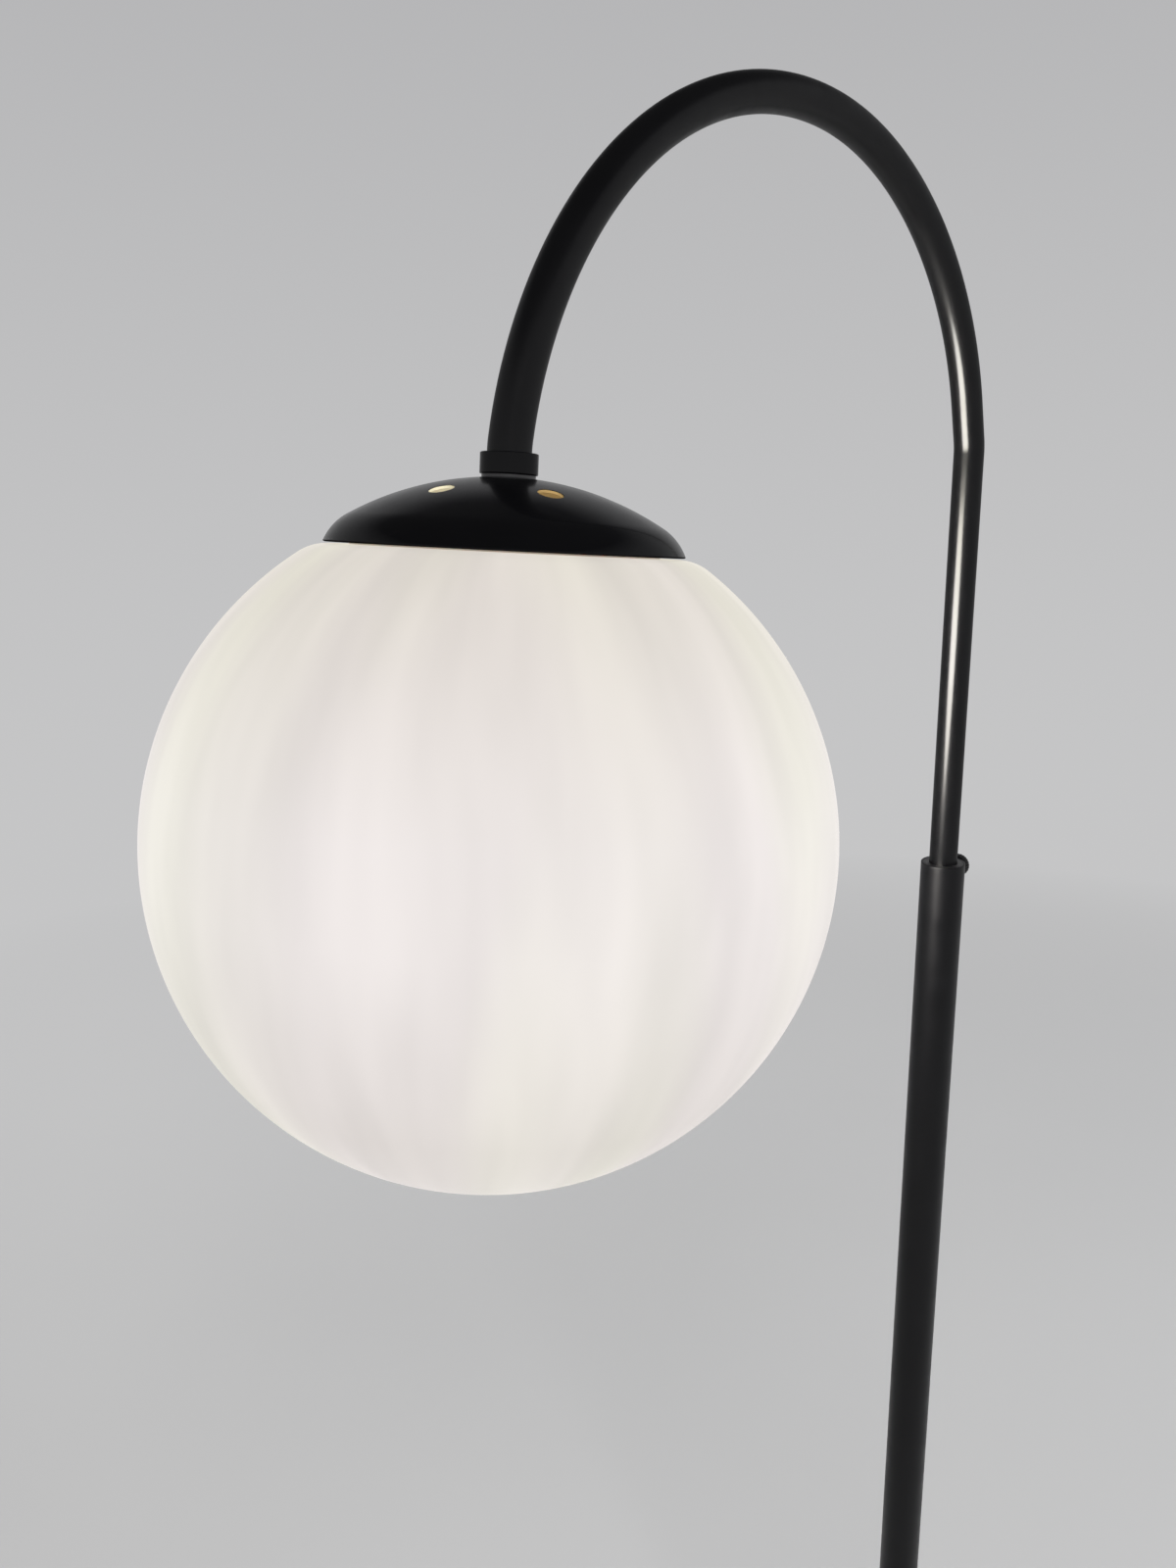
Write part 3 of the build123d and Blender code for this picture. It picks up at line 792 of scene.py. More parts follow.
@dataclass(frozen=True)
class OpalGlass:
    """Cased opal glass lit from inside: soft upright streaks, pinker and creamier by turns.

    The streaks run from pole to pole about the head's axis. Polished surfaces near the globe mirror
    it at its real brightness, which is far above that of the studio.
    """

    name: str
    centre: Vector
    tilt: float
    radius: float
    pink: Colour = (0.812, 0.764, 0.756)
    white: Colour = (0.824, 0.789, 0.748)
    cream: Colour = (0.832, 0.808, 0.742)
    tint_stops: tuple[float, float, float] = (0.36, 0.5, 0.62)
    tints: Grain = Grain(1.7, 1.0)
    body: Colour = (0.11, 0.107, 0.10)
    rough: float = 0.45
    ior: float = 1.45
    shine: float = 0.2
    strength: float = 0.868
    mirrored: float = 66.0
    mirror_skin: Span = (1.5 * MM, 0.5 * MM)
    streaks: Grain = Grain(4.6, 2.0, 0.45)
    streak_turn: float = math.radians(12.0)
    streak_depth: float = 0.15
    along: float = 1.8
    warp: float = 0.16
    warps: Grain = Grain(5.0, 1.0)
    pole_fade: Span = (0.04, 0.42)
    clouds: Grain = Grain(7.0)
    cloud_reach: Span = (0.985, 1.015)
    full_tint: Colour = (1.0, 1.0, 1.0)
    mouth_tint: Colour = (0.870, 0.855, 0.795)
    low_tint: Colour = (0.900, 0.893, 0.875)
    foot_tint: Colour = (0.935, 0.930, 0.912)
    tint_heights: tuple[float, ...] = (0.05, 0.21, 0.48, 0.60, 0.97)
    rim_gain: float = 0.10
    rim_width: float = 0.12
    rim_from: float = 0.35
    swell: Grain = Grain(22.0)
    depth: float = 6e-5

    def around(self, recipe: Recipe, parts: bpy.types.Node) -> Socket:
        """Direction from the head's axis, which changes only slowly along a meridian.

        Args:
            recipe: The glass's recipe.
            parts: Coordinates about the globe's centre, taken apart.

        Returns:
            The vector socket.
        """
        unit = recipe.vector("NORMALIZE", recipe.only(parts, "XY"))
        turned = recipe.turned(unit, "Z_AXIS", -self.streak_turn)
        stretch = (0.0, 0.0, self.along)
        return recipe.vector("MULTIPLY_ADD", recipe.only(parts, "Z"), stretch, turned)

    def off_pole(self, recipe: Recipe, parts: bpy.types.Node) -> Socket:
        """How far a point is from the globe's foot, where the streaks fade out.

        Args:
            recipe: The glass's recipe.
            parts: Coordinates about the globe's centre, taken apart.

        Returns:
            Nought at the foot, and one away from it.
        """
        reach = recipe.vector("LENGTH", recipe.only(parts, "XY"))
        return recipe.spread(reach, 0.0, 1.0, *scaled(self.pole_fade, self.radius))

    def tinted(self, recipe: Recipe, colour: Socket, parts: bpy.types.Node) -> Socket:
        """Warms and dims the glow towards the mouth and the foot, away from the bulb's height.

        Args:
            recipe: The glass's recipe.
            colour: The glow's colour.
            parts: Coordinates about the globe's centre, taken apart.

        Returns:
            The tinted colour's socket.
        """
        height = recipe.spread(parts.outputs["Z"], 0.0, 1.0, -self.radius, self.radius)
        tints = (self.foot_tint, self.low_tint, self.full_tint, self.full_tint, self.mouth_tint)
        tint = recipe.ramp(height, list(zip(self.tint_heights, tints)))
        return recipe.mix(1.0, colour, tint, "MULTIPLY")

    def power(self, recipe: Recipe, where: Socket) -> Socket:
        """The glow's strength: its real one for polished surfaces that mirror the outer skin.

        Args:
            recipe: The glass's recipe.
            where: Coordinates about the globe's centre.

        Returns:
            The strength's socket.
        """
        below, until = self.mirror_skin
        reach = recipe.vector("LENGTH", where)
        outside = recipe.spread(reach, 0.0, 1.0, self.radius - below, self.radius - until)
        glossy = recipe.node("ShaderNodeLightPath").outputs["Is Glossy Ray"]
        return recipe.spread(recipe.product(glossy, outside), self.strength, self.mirrored)

    def level(self, recipe: Recipe, where: Socket, warped: Socket, off_pole: Socket) -> Socket:
        """The glow's strength with its streaks, clouds and brighter outline.

        Args:
            recipe: The glass's recipe.
            where: Coordinates about the globe's centre.
            warped: Direction from the head's axis, with a slow drift.
            off_pole: Nought at the globe's foot, and one away from it.

        Returns:
            The strength's socket.
        """
        bands = recipe.noise(warped, self.streaks)
        half = self.streak_depth / 2
        swing = recipe.spread(bands, -half, half, *NOISE_SPAN)
        streak = recipe.maths("MULTIPLY_ADD", swing, off_pole, 1.0)
        clouds = recipe.noise(where, self.clouds)
        cloud = recipe.spread(clouds, *self.cloud_reach, *NOISE_SPAN)
        edge = recipe.node("ShaderNodeLayerWeight", blend=self.rim_width).outputs["Facing"]
        rim = recipe.spread(edge, 1.0, 1.0 + self.rim_gain, self.rim_from, 1.0)
        return recipe.product(streak, cloud, rim, self.power(recipe, where))

    def make(self) -> bpy.types.Material:
        """Builds the material.

        Returns:
            The new material.
        """
        recipe = Recipe(self.name)
        where = recipe.place(self.centre, -self.tilt)
        recipe.set(base_color=(*self.body, 1.0), roughness=self.rough)
        recipe.set(ior=self.ior, specular_ior_level=self.shine)
        parts = recipe.apart(where)
        drift = recipe.noise(where, self.warps, "Color")
        warp = (self.warp, self.warp, self.warp)
        warped = recipe.vector("MULTIPLY_ADD", drift, warp, self.around(recipe, parts))
        stops = list(zip(self.tint_stops, (self.pink, self.white, self.cream)))
        hue = recipe.ramp(recipe.noise(warped, self.tints), stops)
        off_pole = self.off_pole(recipe, parts)
        colour = recipe.mix(off_pole, (*self.white, 1.0), hue)
        recipe.feed(self.tinted(recipe, colour, parts), "Emission Color")
        recipe.feed(self.level(recipe, where, warped, off_pole), "Emission Strength")
        recipe.bump(recipe.noise(where, self.swell), self.depth)
        return recipe.material


class Palette:
    """All the finishes of the lamp by name: one for each material slot of the record, and four more.

    The four more dress the arm tube, the cap's inside, the cap's rim and the seat ring.
    """

    def __init__(self, head: "HeadPlace") -> None:
        """Makes every finish.

        Args:
            head: Where the lamp head is, for the glass and the enamel.
        """
        finishes = {
            "black_satin": Paint(
                "satin black paint",
                (0.0040, 0.0040, 0.0046),
                0.36,
                peel=Grain(260.0),
                depth=2e-6,
                specks=0.014,
                shine=0.17,
            ),
            "black_tube": Paint(
                "gloss black paint",
                (0.0022, 0.0022, 0.0026),
                0.42,
                peel=Grain(160.0),
                depth=2e-6,
                specks=0.010,
                shine=0.07,
                coat=0.058,
                coat_rough=0.2,
            ),
            "black_gloss": Paint(
                "gloss black enamel",
                (0.0020, 0.0020, 0.0024),
                0.20,
                peel=Grain(140.0),
                depth=2e-6,
                specks=0.010,
                shine=0.05,
                coat=0.048,
                coat_rough=0.035,
            ),
            "lip_edge": Paint(
                "dull black enamel", (0.0055, 0.0055, 0.0060), 0.8, specks=0.012, shine=0.0
            ),
            "cap_inside": ShadedEnamel("pale enamel", head.globe_centre, head.tilt),
            "opal_glass": OpalGlass("opal glass", head.globe_centre, head.tilt, head.globe_radius),
            "iron": CastIron("cast iron", (0.035, 0.035, 0.037)),
            "zinc": Metal("zinc plate", (0.62, 0.63, 0.65), 0.34),
            "brass": Metal("bare brass", (0.80, 0.58, 0.25), 0.28),
            "nickel": Metal("nickel plate", (0.72, 0.70, 0.67), 0.2),
            "ceramic": Moulding("white ceramic", (0.82, 0.80, 0.76), 0.35),
            "silicone": Moulding("silicone rubber", (0.7, 0.7, 0.68), 0.45, through=0.2),
            "black_foam": Moulding(
                "foam pad", (0.018, 0.018, 0.018), 0.9, skin=Grain(900.0), depth=1.5e-4
            ),
            "black_plastic": Moulding("black nylon", (0.016, 0.016, 0.017), 0.42),
            # The seat ring's nylon, painted dark as painted shade.
            "nylon_ring": Moulding("nylon in painted shade", (0.030, 0.030, 0.032), 0.35),
            "white_plastic": Moulding("natural nylon", (0.74, 0.73, 0.7), 0.4, through=0.15),
            "bulb_opal": Moulding(
                "bulb diffuser", (0.9, 0.88, 0.84), 0.4, glow=8.0, glow_colour=(1.0, 0.84, 0.6)
            ),
        }
        self.made = {key: finish.make() for key, finish in finishes.items()}

    def dress(self, piece: Piece, *keys: str) -> None:
        """Gives a piece its finishes, in place of those it had.

        Args:
            piece: The object.
            *keys: Names of the finishes. The first one covers the whole piece.
        """
        piece.data.materials.clear()
        for key in keys:
            piece.data.materials.append(self.made[key])


def fit(piece: Piece, palette: Palette, body: str, finish: str, slot: str, *nodes: str) -> None:
    """Dresses a piece, puts it on its body and lets it stand for CAD nodes.

    Args:
        piece: The new object.
        palette: All finishes.
        body: CAD body that it rides on.
        finish: Name of its finish.
        slot: The record's material slot. Not used.
        *nodes: CAD nodes that it stands for.
    """
    palette.dress(piece, finish)
    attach(piece, body)
    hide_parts(*nodes)
    log.info("%s on %s, %d faces, stands for %s", piece.name, body, len(piece.data.polygons), nodes)


# ------------------------------------------------------------------------------------ the lamp head
@dataclass
class HeadPlace:
    """Where the lamp head is: the globe's centre, and the tilt of the head's axis in the arch."""

    globe_radius: float = 150.0 * MM
    tilt: float = math.radians(5.0)
    globe_centre: Vector = field(default_factory=Vector)

    def __post_init__(self) -> None:
        """Takes the centre from the CAD globe's box."""
        low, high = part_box("globe")
        self.globe_centre = Vector(((low.x + high.x) / 2, 0.0, low.z + self.globe_radius))

    @property
    def place(self) -> Matrix:
        """Takes the head's own axes, heights above the globe's centre, to the row frame."""
        return Matrix.Translation(self.globe_centre) @ Matrix.Rotation(self.tilt, 4, "Y")


class CapFace(Enum):
    """The finishes of the cap's faces, in the order of its material slots."""

    OUTSIDE = "black_gloss"
    INSIDE = "cap_inside"
    RIM = "lip_edge"


@dataclass
class LampHead:
    """Collar, seat ring, dome cap with its vents, and the opal globe.

    Heights are above the globe's centre. The vents' cutters reach some way out of the dome, and
    some sheets' depth into it. A face of the cap is taken for its inside by how far it leans in.
    """

    at: HeadPlace
    thread_hole: float = 5.2 * MM

    cap_top: float = 156.7 * MM
    cap_sheet: float = 1.2 * MM
    dome_radius: float = 130.22 * MM
    dome_steps: int = 40
    land_radius: float = 13.0 * MM
    shoulder_radius: float = 66.5 * MM
    rim_radius: float = 76.5 * MM
    rim_height: float = 127.542 * MM
    rim_steps: int = 20
    rim_ease: float = 0.35 * MM
    ease_steps: int = 4
    rim_band: float = 0.3 * MM
    face_lean: float = 0.3

    vent_radius: float = 5.2 * MM
    vent_circle: float = 43.2 * MM
    vent_count: int = 6
    vent_turn: float = math.radians(10.7)
    vent_sides: int = 48
    vent_break: float = 0.18 * MM
    break_depth: float = 0.12 * MM
    tool_above: float = 3.0 * MM
    tool_sheets: float = 4.0

    glass: float = 3.5 * MM
    glass_turn: float = 22.0 * MM
    glass_turn_angle: float = 35.2
    glass_steps: int = 96
    glass_turn_steps: int = 16
    mouth_radius: float = 59.5 * MM
    mouth_ease: float = 1.4 * MM

    seat_radius: float = 11.5 * MM
    seat_height: float = 1.6 * MM
    seat_ease: float = 0.3 * MM
    seat_steps: int = 3
    collar_radius: float = 12.4 * MM
    collar_height: float = 8.9 * MM
    collar_ease: float = 0.55 * MM
    tube_radius: float = 9.5 * MM
    socket_depth: float = 5.0 * MM

    @property
    def dome_centre(self) -> float:
        """Height of the dome's centre above the globe's centre."""
        return self.cap_top - math.sqrt(self.dome_radius**2 - self.land_radius**2)

    def dome_angle(self, radius: float, across: float) -> float:
        """Angle from the axis, in degrees, at which a dome of that radius is that far across."""
        return math.degrees(math.asin(across / radius))

    def dome_arc(self, radius: float, first: float, last: float) -> Outline:
        """Arc about the dome's centre, between two angles from the axis in degrees."""
        return arc(radius, first, last, self.dome_centre, self.dome_steps)

    def rim_turn(self, inset: float) -> Outline:
        """Arc in which the sheet turns down from the dome to the rim.

        Args:
            inset: Depth of the skin below the sheet's outer face.

        Returns:
            The arc's points from the shoulder to the rim.
        """
        lean = math.radians(self.dome_angle(self.dome_radius, self.shoulder_radius))
        shoulder = Vector(arc(self.dome_radius, math.degrees(lean), 0.0, self.dome_centre, 1)[0])
        out = Vector((math.sin(lean), math.cos(lean)))
        run = Vector((self.rim_radius, self.rim_height)) - shoulder
        radius = -run.length_squared / (2 * run.dot(out))
        middle = shoulder - out * radius
        last = math.degrees(math.asin((self.rim_radius - middle.x) / radius))
        turn = arc(radius - inset, math.degrees(lean), last, middle.y, self.rim_steps)
        return aside(turn, middle.x)

    def cap_outline(self) -> Outline:
        """Section of the cap's sheet.

        Returns:
            The points, from the land's hole over the dome to the rim and back inside.
        """
        inner = self.dome_radius - self.cap_sheet
        lean = self.dome_angle(self.dome_radius, self.shoulder_radius)
        land = self.dome_angle(self.dome_radius, self.land_radius)
        outside = [(self.thread_hole, self.cap_top)] + self.dome_arc(self.dome_radius, land, lean)
        outer_turn = self.rim_turn(0.0)
        inner_turn = self.rim_turn(self.cap_sheet)[::-1]
        edge = [outer_turn[-2], outer_turn[-1], inner_turn[0], inner_turn[1]]
        rim = rounded(edge, self.rim_ease, self.ease_steps)
        inside = self.dome_arc(inner, lean, self.dome_angle(inner, self.land_radius))
        inside += [(self.thread_hole, self.cap_top - self.cap_sheet)]
        return outside + outer_turn[1:-2] + rim + inner_turn[2:-1] + inside

    def vent_tools(self) -> list[Piece]:
        """Cutters for the vents, square to the dome.

        Returns:
            One cutter a vent, which also breaks its edge a little at the skin.
        """
        top = self.dome_radius + self.tool_above
        edge = self.dome_radius - self.break_depth
        foot = self.dome_radius - self.tool_sheets * self.cap_sheet
        hole = self.vent_radius
        wide = hole + self.vent_break
        outline = [(0.0, top), (wide, top), (wide, edge), (hole, edge - self.vent_break)]
        outline += [(hole, foot), (0.0, foot)]
        lean = math.asin(self.vent_circle / self.dome_radius)
        tools = []
        for number in range(self.vent_count):
            turn = self.vent_turn + number * 2 * math.pi / self.vent_count
            aim = Matrix.Translation((0, 0, self.dome_centre)) @ Matrix.Rotation(turn, 4, "Z")
            aim = self.at.place @ aim @ Matrix.Rotation(lean, 4, "Y")
            tools.append(lathe(f"vent_tool_{number}", outline, aim, self.vent_sides, closed=False))
        return tools

    def cap(self) -> Piece:
        """Builds the dome cap with its vents cut through.

        Returns:
            The new object.
        """
        piece = lathe("dome_cap", self.cap_outline(), self.at.place, WIDE_SIDES)
        cut(piece, self.vent_tools())
        return piece

    def line(self, cap: Piece, palette: Palette) -> None:
        """Gives the cap's inside its enamel, the vents' walls the same pale enamel as a painted
        highlight, and the rim's edge a dull one.

        Args:
            cap: The dressed cap.
            palette: All finishes.
        """
        order = list(CapFace)
        palette.dress(cap, *(side.value for side in order))
        back = self.at.place.inverted()
        middle = Vector((0.0, 0.0, self.dome_centre))
        for face in cap.data.polygons:
            here = back @ face.center
            facing = (here - middle).normalized().dot(back.to_3x3() @ face.normal)
            in_vents = self.in_vents(math.hypot(here.x, here.y))
            if here.z < self.rim_height + self.rim_band:
                face.material_index = order.index(CapFace.RIM)
            # The vents' walls take the pale enamel as a painted highlight on the black sheet's cut
            # edges.
            elif facing < -self.face_lean or (facing < self.face_lean and in_vents):
                face.material_index = order.index(CapFace.INSIDE)

    def in_vents(self, across: float) -> bool:
        """Whether a distance from the axis is within the ring of the vents."""
        return abs(across - self.vent_circle) < self.vent_radius + self.vent_break

    def glass_skin(self, inset: float) -> Outline:
        """Section of the globe's round side and shoulder, from its bottom to the flat ring.

        Args:
            inset: Depth of the skin below the outer face.

        Returns:
            The points of the skin.
        """
        angle = self.glass_turn_angle
        place = math.radians(angle)
        reach = self.at.globe_radius - self.glass_turn
        side = arc(self.at.globe_radius - inset, 180.0, angle, 0.0, self.glass_steps)
        centre = reach * math.cos(place)
        turn = arc(self.glass_turn - inset, angle, 0.0, centre, self.glass_turn_steps)
        return side + aside(turn, reach * math.sin(place))[1:]

    def globe(self) -> Piece:
        """Builds the globe: a blown shell that turns in to a flat ring with a fire-polished mouth.

        Returns:
            The new object.
        """
        outer = self.glass_skin(0.0)
        inner = self.glass_skin(self.glass)[::-1]
        high, low = outer[-1][1], inner[0][1]
        mouth = [outer[-1], (self.mouth_radius, high), (self.mouth_radius, low), inner[0]]
        rim = rounded(mouth, self.mouth_ease, self.ease_steps)
        outline = outer[:-1] + rim + inner[1:]
        return lathe("opal_globe", outline, self.at.place, WIDE_SIDES, closed=False)

    def collar(self) -> Piece:
        """Builds the turned collar between the arm and the cap.

        Returns:
            The new object.
        """
        low = self.cap_top + self.seat_height
        high = low + self.collar_height
        step = high - self.socket_depth
        section = [(self.thread_hole, step), (self.tube_radius, step), (self.tube_radius, high)]
        section += [(self.collar_radius, high), (self.collar_radius, low), (self.thread_hole, low)]
        return lathe("collar_turned", eased(section, self.collar_ease), self.at.place)

    def seat(self) -> Piece:
        """Builds the thin seat ring under the collar.

        Returns:
            The new object.
        """
        top = self.cap_top + self.seat_height
        section = ring_section(self.thread_hole, self.seat_radius, self.cap_top, top)
        section = eased(section, self.seat_ease, self.seat_steps)
        return lathe("seat_washer", section, self.at.place)

    def build(self, palette: Palette) -> None:
        """Builds, dresses and mounts the head's pieces.

        Args:
            palette: All finishes.
        """
        cap = self.cap()
        fit(cap, palette, "arm", "black_gloss", "black_gloss", "cap")
        self.line(cap, palette)
        fit(self.globe(), palette, "arm", "opal_glass", "opal_glass", "globe")
        fit(self.collar(), palette, "arm", "black_gloss", "black_gloss", "collar")
        fit(self.seat(), palette, "arm", "nylon_ring", "white_plastic", "seat_ring")


# ------------------------------------------------------------------------------------------ the arm
@dataclass(frozen=True)
class Bend:
    """One bend of the tube: its radius, its turn in degrees, and the straight run after it."""

    radius: float
    turn: float
    run: float = 0.0


@dataclass
class Arm:
    """The bent tube: upright, kink, short run, arch of two radii and the bend at the lamp head."""

    tube_radius: float = 9.5 * MM
    wall: float = 1.2 * MM
    kink_height: float = 1412.0 * MM
    bends: tuple[Bend, ...] = (
        Bend(38.0 * MM, 14.2, 21.1 * MM),
        Bend(188.8 * MM, 70.2),
        Bend(210.9 * MM, 83.1),
        Bend(45.0 * MM, 7.5, 5.0 * MM),
    )
    sides: int = 64
    fewest_steps: int = 6
    degrees_a_step: float = 1.5

    def path(self) -> list[tuple[Vector, float]]:
        """The tube's middle line.

        Returns:
            Points from its lower end, each with the line's angle from upright.
        """
        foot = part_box("arm_tube")[0].z
        kink = self.bends[0]
        straight = self.kink_height - kink.radius * math.tan(math.radians(kink.turn / 2))
        point = Vector((0.0, 0.0, straight))
        angle = 0.0
        points = [(Vector((0.0, 0.0, foot)), angle), (point.copy(), angle)]
        for bend in self.bends:
            steps = max(self.fewest_steps, round(bend.turn / self.degrees_a_step))
            swing = math.radians(bend.turn) / steps
            chord = 2 * bend.radius * math.sin(swing / 2)
            for _ in range(steps):
                middle = angle + swing / 2
                point += Vector((-math.sin(middle), 0.0, math.cos(middle))) * chord
                angle += swing
                points.append((point.copy(), angle))
            if bend.run:
                point += Vector((-math.sin(angle), 0.0, math.cos(angle))) * bend.run
                points.append((point.copy(), angle))
        return points

    def wall_rings(
        self, shape: bmesh.types.BMesh, radius: float
    ) -> list[list[bmesh.types.BMVert]]:
        """Adds a ring of points about each point of the middle line.

        Args:
            shape: The bmesh that gets the points.
            radius: Radius of the rings.

        Returns:
            The rings, from the lower end.
        """
        rings = []
        for point, angle in self.path():
            across = Vector((math.cos(angle), 0.0, math.sin(angle)))
            ring = []
            for side in range(self.sides):
                turn = 2 * math.pi * side / self.sides
                offset = across * math.cos(turn) + Vector((0, 1, 0)) * math.sin(turn)
                ring.append(shape.verts.new(point + offset * radius))
            rings.append(ring)
        return rings

    def tube(self) -> Piece:
        """Sweeps the tube with its bore, open at both ends.

        Returns:
            The new object.
        """
        shape = bmesh.new()
        outer = self.wall_rings(shape, self.tube_radius)
        inner = self.wall_rings(shape, self.tube_radius - self.wall)
        skin(shape, outer + inner[::-1], closed=True)
        return finish_mesh("arched_tube", shape)

    def build(self, palette: Palette) -> None:
        """Builds, dresses and mounts the tube."""
        fit(self.tube(), palette, "arm", "black_tube", "black_satin", "arm_tube")


# ----------------------------------------------------------------------------------------- the pole
@dataclass
class Pole:
    """The sleeve with its guide bush, the trim ring at its foot and the height clamp's knob.

    The knob's profile gives shares of its length, its radius and its ribs' depth. The trim ring's
    gives shares of its width, inwards from its edge, and of its height.
    """

    sleeve_radius: float = 15.0 * MM
    sleeve_wall: float = 1.5 * MM
    sleeve_ease: float = 0.5 * MM
    bush_bore: float = 9.55 * MM
    bush_ease: float = 0.4 * MM
    boss_hole: float = 5.0 * MM
    stud_hole: float = 3.05 * MM
    knob_radius: float = 8.0 * MM
    knob_length: float = 8.4 * MM
    knob_ribs: int = 24
    sides_a_rib: int = 8
    rib_depth: float = 0.45 * MM
    knob_profile: tuple[tuple[float, float, float], ...] = (
        (0.0, 0.80, 0.0),
        (0.05, 0.93, 0.3),
        (0.14, 1.0, 1.0),
        (0.50, 1.0, 1.0),
        (0.72, 1.0, 1.0),
        (0.84, 0.955, 0.5),
        (0.93, 0.87, 0.1),
        (0.985, 0.70, 0.0),
        (1.0, 0.45, 0.0),
    )
    trim_profile: tuple[tuple[float, float], ...] = (
        (1.0, 0.0),
        (0.0, 0.0),
        (0.0, 0.2),
        (0.28, 0.36),
        (0.58, 0.66),
        (0.8, 1.0),
        (1.0, 1.0),
    )
    trim_ease: float = 3.0 * MM
    trim_steps: int = 6
    trim_sides: int = 128

    def clamp_line(self) -> Vector:
        """The point of the pole's axis that the clamp stud points at."""
        low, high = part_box("clamp_stud")
        return Vector((0.0, 0.0, (low.z + high.z) / 2))

    def pierced(self, name: str, section: Outline, ease: float, hole: float) -> Piece:
        """Builds a tube about the pole's axis, with a hole for the clamp.

        Args:
            name: The new piece's name.
            section: Corners of its section.
            ease: Radius of its edges.
            hole: Radius of the hole.

        Returns:
            The new object.
        """
        tube = lathe(name, eased(section, ease), Matrix())
        cut(tube, [drill(hole, self.clamp_line(), 2 * self.sleeve_radius)])
        return tube

    def sleeve(self) -> Piece:
        """Builds the outer tube, with its edges eased and the clamp boss's hole.

        Returns:
            The new object.
        """
        low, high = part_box("outer_sleeve")
        inner = self.sleeve_radius - self.sleeve_wall
        section = ring_section(inner, self.sleeve_radius, low.z, high.z)
        section.insert(2, (self.sleeve_radius, (low.z + high.z) / 2))
        return self.pierced("sleeve_tube", section, self.sleeve_ease, self.boss_hole)

    def bush(self) -> Piece:
        """Builds the guide bush that shows as a flat ring in the sleeve's mouth.

        Returns:
            The new object.
        """
        low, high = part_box("guide_bush")
        outer = self.sleeve_radius - self.sleeve_wall
        section = ring_section(self.bush_bore, outer, low.z, high.z)
        return self.pierced("guide_ring", section, self.bush_ease, self.stud_hole)

    def knob(self) -> Piece:
        """Builds the clamp knob: a domed disc with fine grip ribs.

        Returns:
            The new object.
        """
        low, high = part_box("clamp_knob")
        height = (low.z + high.z) / 2
        sides = self.knob_ribs * self.sides_a_rib
        shape = bmesh.new()
        rings = []
        for along, wide, rib in self.knob_profile:
            ring = []
            for side in range(sides):
                turn = 2 * math.pi * side / sides
                groove = 0.5 + 0.5 * math.cos(self.knob_ribs * turn)
                reach = wide * self.knob_radius - rib * self.rib_depth * groove**2
                across, up = reach * math.cos(turn), height + reach * math.sin(turn)
                ring.append(shape.verts.new((low.x + along * self.knob_length, across, up)))
            rings.append(ring)
        near = [shape.verts.new((low.x, 0.0, height))]
        far = [shape.verts.new((low.x + self.knob_length, 0.0, height))]
        skin(shape, [near, *rings, far], closed=False)
        return finish_mesh("grip_knob", shape)

    def trim(self) -> Piece:
        """Builds the trim ring that covers the joint of pole and base.

        Returns:
            The new object.
        """
        low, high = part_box("foot_trim")
        width = high.x - self.sleeve_radius
        height = high.z - low.z
        profile = self.trim_profile
        section = [(high.x - share * width, low.z + rise * height) for share, rise in profile]
        section = eased(section, self.trim_ease, self.trim_steps)
        return lathe("foot_ring", section, Matrix(), self.trim_sides)

    def build(self, palette: Palette) -> None:
        """Builds, dresses and mounts the pole's pieces.

        Args:
            palette: All finishes.
        """
        fit(self.sleeve(), palette, "base", "black_satin", "black_satin", "outer_sleeve")
        fit(self.bush(), palette, "base", "black_plastic", "black_plastic", "guide_bush")
        fit(self.knob(), palette, "clamp_screw", "black_gloss", "black_gloss", "clamp_knob")
        fit(self.trim(), palette, "base", "black_satin", "black_satin", "foot_trim")


# ----------------------------------------------------------------------------------------- the base
@dataclass
class Base:
    """The spun cover over the base weight."""

    sheet: float = 1.5 * MM
    bend: float = 9.5 * MM
    bend_steps: int = 14
    thread_hole: float = 5.2 * MM
    outlet_hole: float = 4.1 * MM
    drill_sheets: float = 8.0

    def edge(self, outer: float, top: float, radius: float) -> Outline:
        """Rounded edge of the sheet, from the top face down to the side.

        Args:
            outer: The side's distance from the axis.
            top: Height of the top face.
            radius: Radius of the rounding.

        Returns:
            The edge's points.
        """
        reach = 2 * self.bend
        spare = self.bend - radius
        corner = [(outer + spare - reach, top), (outer, top), (outer, top + spare - reach)]
        return rounded(corner, radius, self.bend_steps)

    def cover(self) -> Piece:
        """Builds the spun sheet cover with its rounded edge and the hole of the outlet bush.

        Returns:
            The new object.
        """
        low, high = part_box("base_cover")
        outer, inner = high.x, high.x - self.sheet
        under = high.z - self.sheet
        turn = self.edge(outer, high.z, self.bend)
        back = self.edge(inner, under, self.bend - self.sheet)[::-1]
        section = [(self.thread_hole, high.z)] + turn[:-1] + [(outer, low.z), (inner, low.z)]
        section += back[1:] + [(self.thread_hole, under)]
        cover = lathe("spun_cover", section, Matrix(), LARGE_SIDES)
        low_bush, high_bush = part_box("cord_outlet")
        reach = self.drill_sheets * self.sheet
        start = Vector((outer - reach, 0.0, (low_bush.z + high_bush.z) / 2))
        cut(cover, [drill(self.outlet_hole, start, 2 * reach)])
        return cover

    def build(self, palette: Palette) -> None:
        """Builds, dresses and mounts the cover."""
        fit(self.cover(), palette, "base", "black_satin", "black_satin", "base_cover")


# -------------------------------------------------------------------------------------- the studio
@dataclass(frozen=True)
class SoftLamp:
    """A square soft box: its place, side, power and tint."""

    name: str
    place: tuple[float, float, float]
    size: float
    power: float
    tint: Colour


